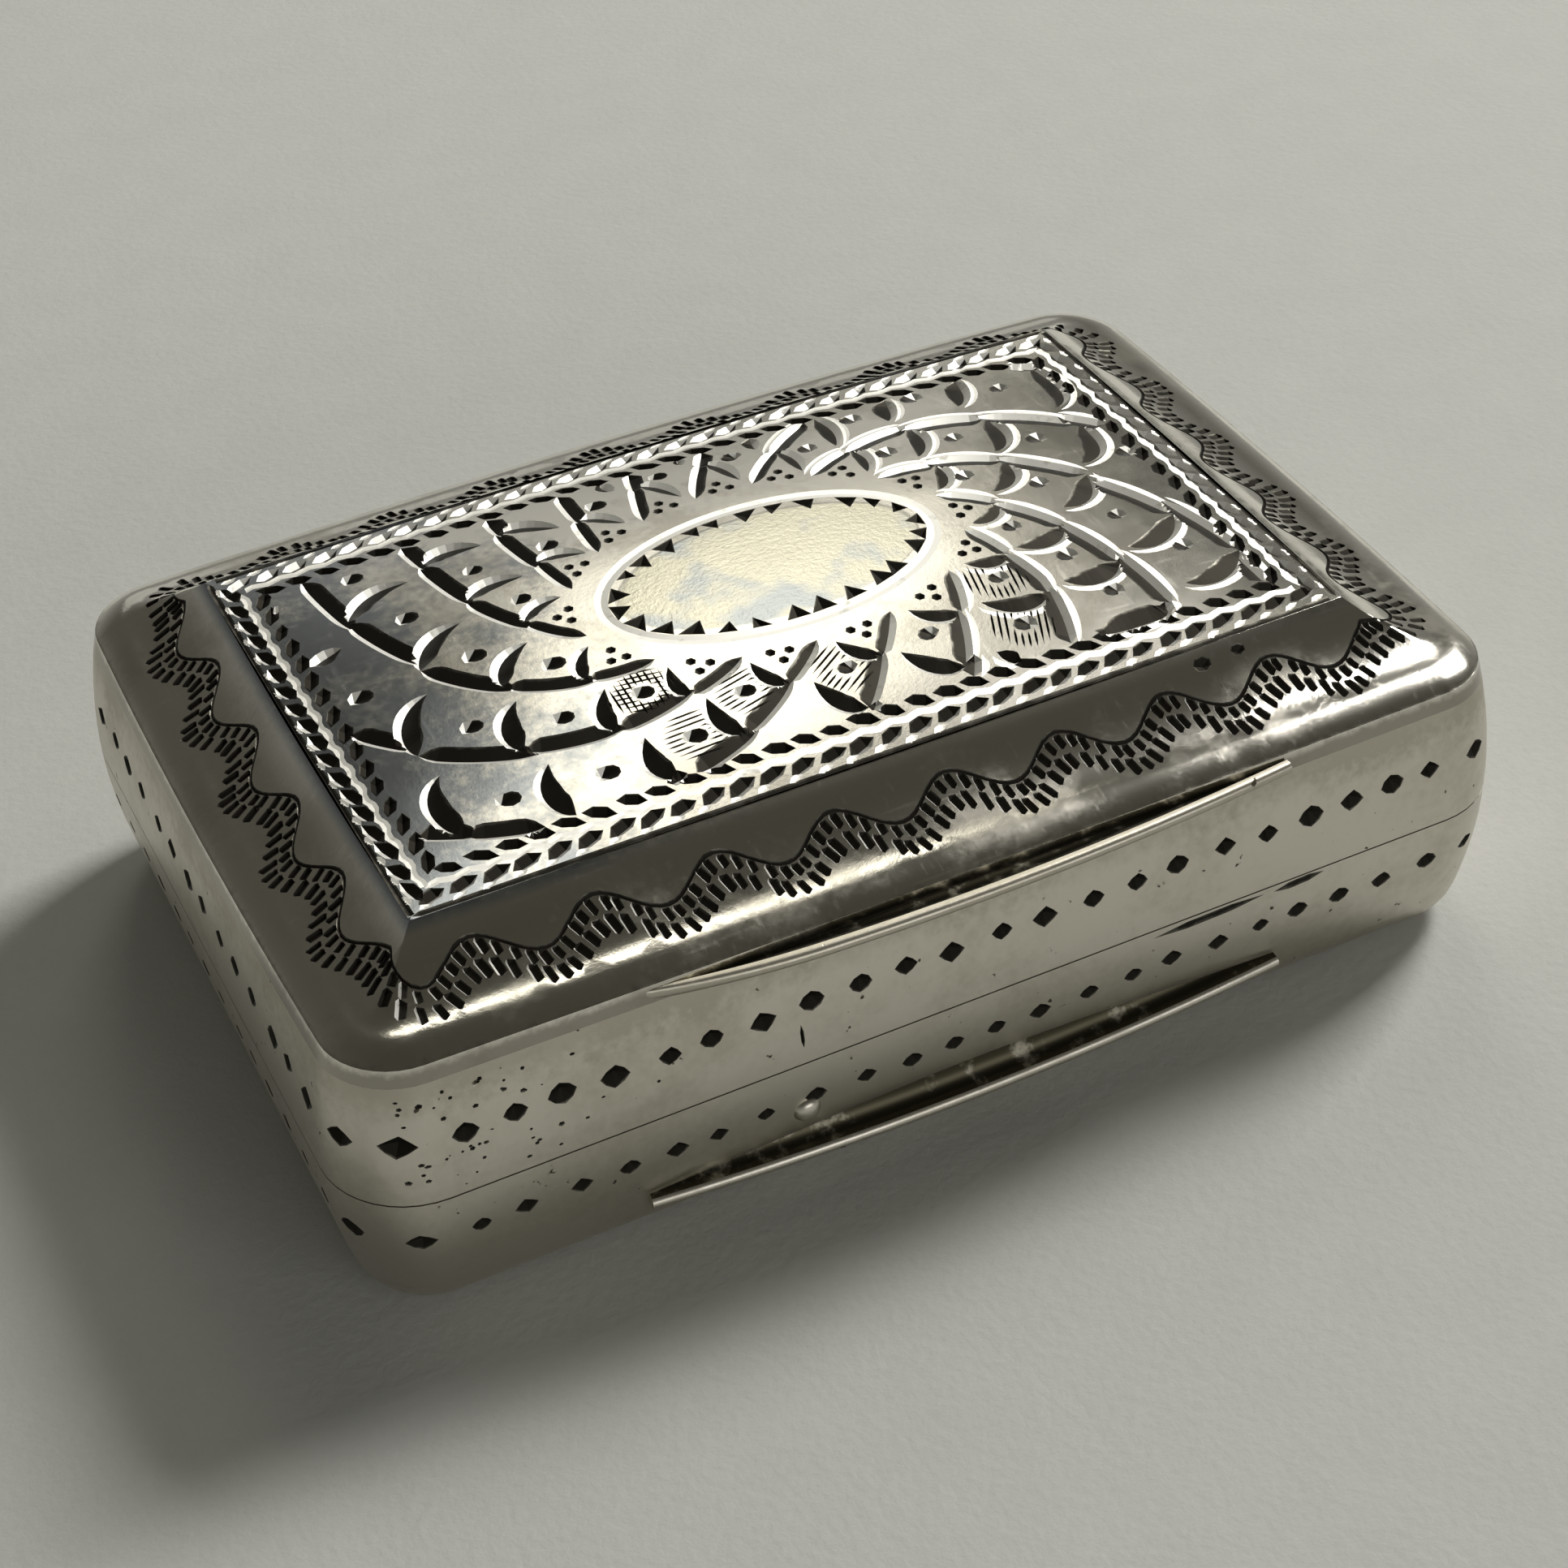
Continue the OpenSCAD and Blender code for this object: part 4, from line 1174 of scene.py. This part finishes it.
# %% [markdown]
# ## The base's plate
# The bottom was raised from one sheet and rolls up into the walls. It is a strip of rows swept
# round the plan, closed by a flat face on either side. A bevelled block would look alike from
# outside, but this one is a thin sheet, so it is right with the lid open too.


# %% Base plate
def rolled(r, first, last, n):
    """Rows round the plan that roll from one angle to another."""
    rows = []
    for a in np.linspace(first, last, n):
        rows.append(loop(FOOT_C + r * math.cos(a), FOOT_R - r * math.sin(a)))
    return rows


foot_in = FOOT_R - SHEET
base_skin = Skin()
outer = rolled(FOOT_R, math.pi / 2, FOOT_A, 13)
lining = rolled(foot_in, math.asin((FOOT_R - FOOT_Z) / foot_in), math.pi / 2, 9)
base_skin.rows(outer, 0)
base_skin.rows([outer[-1], lining[0]], 0)
base_skin.rows(lining, 1)
base_skin.cap(outer[0], 0, (0, 0, -1), -1)
base_skin.cap(lining[-1], 1, (0, 0, 1), 1)
build(base_skin, "base_bottom", (plain, gilt), "base", ["base_plate"])

# %% [markdown]
# ## Finger lips
# A thumbnail opens the box at two bowed lips. Each is a drawn moulding: its section is carried
# along a shallow arc, fullest in the middle, and it dies into the wall at both ends. A curve with
# a bevel profile could sweep it, but here the hollow gets a dark finish of its own, painted shade,
# and the ends close.


# %% Lips swept along an arc
LIP_L, LIP_BOW = 20.0, 0.5


def lip(name, out, strips, body, node, shape=None, left_end=1.0, extra=None, n=72):
    """Carries strips of (points, finish) along the lip's arc. left_end thins its left end."""
    r = (LIP_L**2 / 4 + LIP_BOW**2) / (2 * LIP_BOW)
    half = math.asin(LIP_L / 2 / r)
    a = np.linspace(-half, half, n)
    thin = 1 - (1 - left_end) * np.clip((-a / half - 0.45) / 0.55, 0, 1) ** 2

    def carry(u, z):
        u = np.where(u > 0, u * thin, u)
        reach = r - out + u
        y = r - RIM_Y - out - reach * np.cos(a)
        return np.stack([reach * np.sin(a), y, np.full(n, z)], -1)

    skin, section = Skin(), []
    for points, look in strips:
        skin.rows([carry(u, z) for u, z in points], look, closed=False)
        section += points if not section else points[1:]
    skin.rows([carry(*section[-1]), carry(*section[0])], 0, closed=False)
    ends = np.array([carry(u, z) for u, z in section])
    skin.cap(ends[:, 0], 0, (-1, 0, 0), 1)
    skin.cap(ends[:, -1], 0, (1, 0, 0), -1)
    if extra:
        extra(skin)
    build(skin, name, (plain, hollow_shade), body, [node], shape)


def nose(u, z, r, first, last, n=9):
    """The rounded front of a lip's section, between two angles."""
    turns = np.radians(np.linspace(first, last, n))
    return [(u - r + r * math.cos(a), z + r * math.sin(a)) for a in turns]


print("lips are", LIP_L, "mm long")

# %% Lip of the lid
# The lips' hollows are painted near black in patches: painted shade.
hollow_shade = Finish("painted_shade_hollow")
patch = hollow_shade.between(hollow_shade.cloud(0.8, detail=4.0, rough=0.65), 0.52, 0.75)
tone = hollow_shade.mix(patch, (0.05, 0.045, 0.03), (0.33, 0.31, 0.25))
hollow_shade.set(metallic=1.0, base_color=tone, roughness=0.3 + 0.2 * patch)

top, foot = RIM_Z - 0.1, RIM_Z - 1.3
steps = np.linspace(0, 1, 9)
under = [(0.13 + 0.62 * t**1.6, foot + (top - 0.42 - foot) * t) for t in steps]
front = nose(0.9, top - 0.2, 0.2, -50, 80)
brow = front[-1][1]
hollow = [(0.62 - 0.77 * t, brow - 0.2 * math.sin(math.pi * t) ** 0.7) for t in steps]
lid_strips = [([(-0.15, foot), under[0]], 0), (under, 0)]
lid_strips += [([under[-1]] + front + hollow[:1], 0), (hollow, 1)]
lip("lid_finger_lip", 0.9, lid_strips, "lid", "lid_lip", bowed, left_end=0.5)


# %% Lip of the base
def solder_bead(skin, x=-5.25, z=3.05, r=0.42, high=0.3):
    """A drop of solder that was left standing where the lip was joined."""
    turn, rows = np.linspace(0, 2 * math.pi, 20, endpoint=False), []
    for q in np.linspace(0, 0.98 * math.pi / 2, 8):
        px, pz = x + r * math.cos(q) * np.cos(turn), z + r * math.cos(q) * np.sin(turn)
        rows.append(np.stack([px, -(RIM_Y + wall_u(pz)) + 0.06 - high * math.sin(q), pz], -1))
    skin.rows(rows, 0)
    skin.cap(rows[0], 0, (0, 1, 0), -1)
    skin.cap(rows[-1], 0, (0, -1, 0), 1)


face = nose(1.15, 1.72, 0.2, -80, 70)
scoop = []
for t in math.pi / 2 * steps:
    scoop.append((face[-1][0] - 0.66 * math.sin(t), face[-1][1] + 1.1 * (1 - math.cos(t))))
base_strips = [([(0.0, 1.5), face[0]], 0), (face, 0), (scoop, 1), ([scoop[-1], (0.0, 3.02)], 1)]
lip("base_finger_lip", 1.15, base_strips, "base", "base_lip", extra=solder_bead)

# %% [markdown]
# ## Solids that only need a finish
# The knuckles, pins, brackets and the pierced grille have the right shape already. Remaking them
# would only risk their fit, so they get the same metals as the rest.

# %% Finishes for the other solids
slots = {s["node"]: s["material_slot"] for s in frame["record"]["subparts"]}
looks = {"silver": plain, "gilt": gilt, "sponge": gilt}
for name, solid in frame["nodes"].items():
    solid.data.materials.clear()
    solid.data.materials.append(looks[slots[name]].material)
print("finished solids:", len(frame["nodes"]))

# %% [markdown]
# ## The sponge
# Only a scrap of sponge shows through the grille, but it is the heart of the box. A dense block
# with rounded edges is pushed in and out by cell noise, which leaves the round pores of a sponge.
# A Displace modifier needs a texture from Blender's data, while the noise module is one call.

# %% Dry sponge
sponge_look = Finish("dry_sponge")
pore = sponge_look.node("ShaderNodeTexVoronoi", {}, {"Vector": sponge_look.place(), "Scale": 900.0})
tone = sponge_look.between(sponge_look.cloud(1.2, detail=3.0), 0.35, 0.7)
tone = sponge_look.mix(tone, (0.42, 0.28, 0.12), (0.62, 0.47, 0.25))
sponge_look.set(base_color=tone, roughness=0.95, normal=sponge_look.bump(pore, 0.25))
print("made", sponge_look.material.name)

# %% Block of sponge
low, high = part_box("sponge")
grid = bpy.data.meshes.new("sponge_block")
cells, block = {}, []
SPANS, ROUNDING = (96, 58, 10), 0.045
size, centre = (high - low) / MM, (high + low) / 2 / MM


def on_block(key):
    """The number of a point on the block, which is made when it is first asked for."""
    if key not in cells:
        p = 2 * np.array(key) / SPANS - 1
        p = p * (1 - ROUNDING * np.roll(p, 1) ** 4) * (1 - ROUNDING * np.roll(p, 2) ** 4)
        q = Vector(p * np.array(size) / 2)
        cell = noise.voronoi(q * 0.9)[0][0] + 0.5 * noise.voronoi(q * 2.1)[0][0]
        q = q * (0.985 - 0.03 * max(0.0, 0.75 - cell))
        q.z -= 0.5 * max(0.0, 0.7 - cell) * max(0.0, p[2])
        cells[key] = len(block)
        block.append(tuple((q + centre) * MM))
    return cells[key]


faces = []
for axis in range(3):
    u, v = (axis + 1) % 3, (axis + 2) % 3
    for end in (0, SPANS[axis]):
        for a in range(SPANS[u]):
            for b in range(SPANS[v]):
                ring, at = [], [end] * 3
                for at[u], at[v] in ((a, b), (a + 1, b), (a + 1, b + 1), (a, b + 1)):
                    ring.append(on_block(tuple(at)))
                faces.append(ring if end else ring[::-1])
grid.from_pydata(block, [], faces)
grid.materials.append(sponge_look.material)
grid.shade_smooth()
sponge = stand("sponge_block", grid)
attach(sponge, "base")
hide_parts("sponge")
print("sponge faces:", len(faces))

# %% [markdown]
# ## Paper, camera and light
# The box stands on grey paper. A mirror shows its surroundings more than itself, so the light is
# the finish. A tall window behind flashes on the middle of the lid, a lamp on the right throws the
# shadow to the left, and two weak ones keep the back and the front from going black. The room above
# is dim, and the paper fills the walls from below.

# %% Paper
paper = Finish("grey_paper")
fibre = 0.5 * paper.cloud(0.3, detail=4.0, rough=0.7) + 0.5 * paper.cloud(2.5, detail=3.0)
paper.set(base_color=paper.mix(fibre, (0.50, 0.505, 0.48), (0.60, 0.605, 0.575)), roughness=0.9)
paper.set(normal=paper.bump(paper.cloud(0.35, detail=3.0), 0.03))
ground = bpy.data.meshes.new("paper")
WIDE, LOW = 1.5, -2e-5
corners = [(x * WIDE, y * WIDE, LOW) for x, y in ((-1, -1), (1, -1), (1, 1), (-1, 1))]
ground.from_pydata(corners, [], [(0, 1, 2, 3)])
ground.materials.append(paper.material)
floor = stand("paper", ground)
print("paper", 2 * WIDE, "m wide")

# %% Camera
YAW, PITCH, ROLL = map(math.radians, (24.45, 39.43, -3.01))
right = Vector((math.cos(YAW), -math.sin(YAW), 0))
level = math.cos(PITCH)
ahead = Vector((math.sin(YAW) * level, math.cos(YAW) * level, -math.sin(PITCH)))
up = right.cross(ahead)
c, s = math.cos(ROLL), math.sin(ROLL)
right, up = c * right + s * up, c * up - s * right
SENSOR, FOCAL_PX, FRAME_PX = 36.0, 3807, 1932
lens = bpy.data.cameras.new("camera")
lens.sensor_width, lens.lens, lens.clip_start = SENSOR, FOCAL_PX / FRAME_PX * SENSOR, MM
camera = stand("camera", lens)
spot = Vector((-29.98, -66.21, 63.38)) * MM
camera.matrix_world = Matrix.Translation(spot) @ Matrix((right, up, -ahead)).transposed().to_4x4()
bpy.context.scene.camera = camera
print("camera", [round(c / MM, 1) for c in spot], "mm")


# %% Lamps and room
def toward(azimuth, height):
    """A direction: azimuth from the back of the box to its right, height above the paper."""
    a, h = math.radians(azimuth), math.radians(height)
    return Vector((math.cos(h) * math.sin(a), math.cos(h) * math.cos(a), math.sin(h)))


def lamp(name, way, distance, size, watts, colour):
    data = bpy.data.lights.new(name, "AREA")
    data.shape, data.size, data.size_y = "RECTANGLE", *size
    data.energy, data.color = watts, colour
    made, way = stand(name, data), way.normalized()
    made.location = way * distance
    made.rotation_euler = way.to_track_quat("Z", "Y").to_euler()


lamp("window", toward(24, 46.5), 0.6, (0.17, 0.29), 0.36, (1.0, 0.97, 0.86))
lamp("key_light", toward(69, 44), 0.7, (0.18, 0.24), 4.0, (1.0, 0.985, 0.95))
lamp("back_glow", toward(16, 23), 1.0, (0.5, 0.3), 0.14, (1.0, 0.99, 0.96))
lamp("front_fill", toward(168, 20), 0.9, (0.8, 0.22), 1.5, (1.0, 0.99, 0.97))
room = Finish("room", "worlds", "Background")
bpy.context.scene.world = room.material
way = room.node("ShaderNodeTexCoord", {}, {}, out="Generated")
height = room.node("ShaderNodeSeparateXYZ", {}, {0: way}, out="Z")
stops = [(0.0, (0.30, 0.30, 0.28)), (0.2, (0.20, 0.20, 0.185))]
stops += [(0.5, (0.085, 0.083, 0.07)), (1.0, (0.05, 0.048, 0.038))]
room.set(color=room.node("ShaderNodeValToRGB", {"stops": stops}, {0: height}))
bpy.context.scene.view_settings.view_transform = "Standard"
print("lamps:", len(bpy.data.lights))

# %% [markdown]
# ## The end

# %% End
print("the box is dressed")
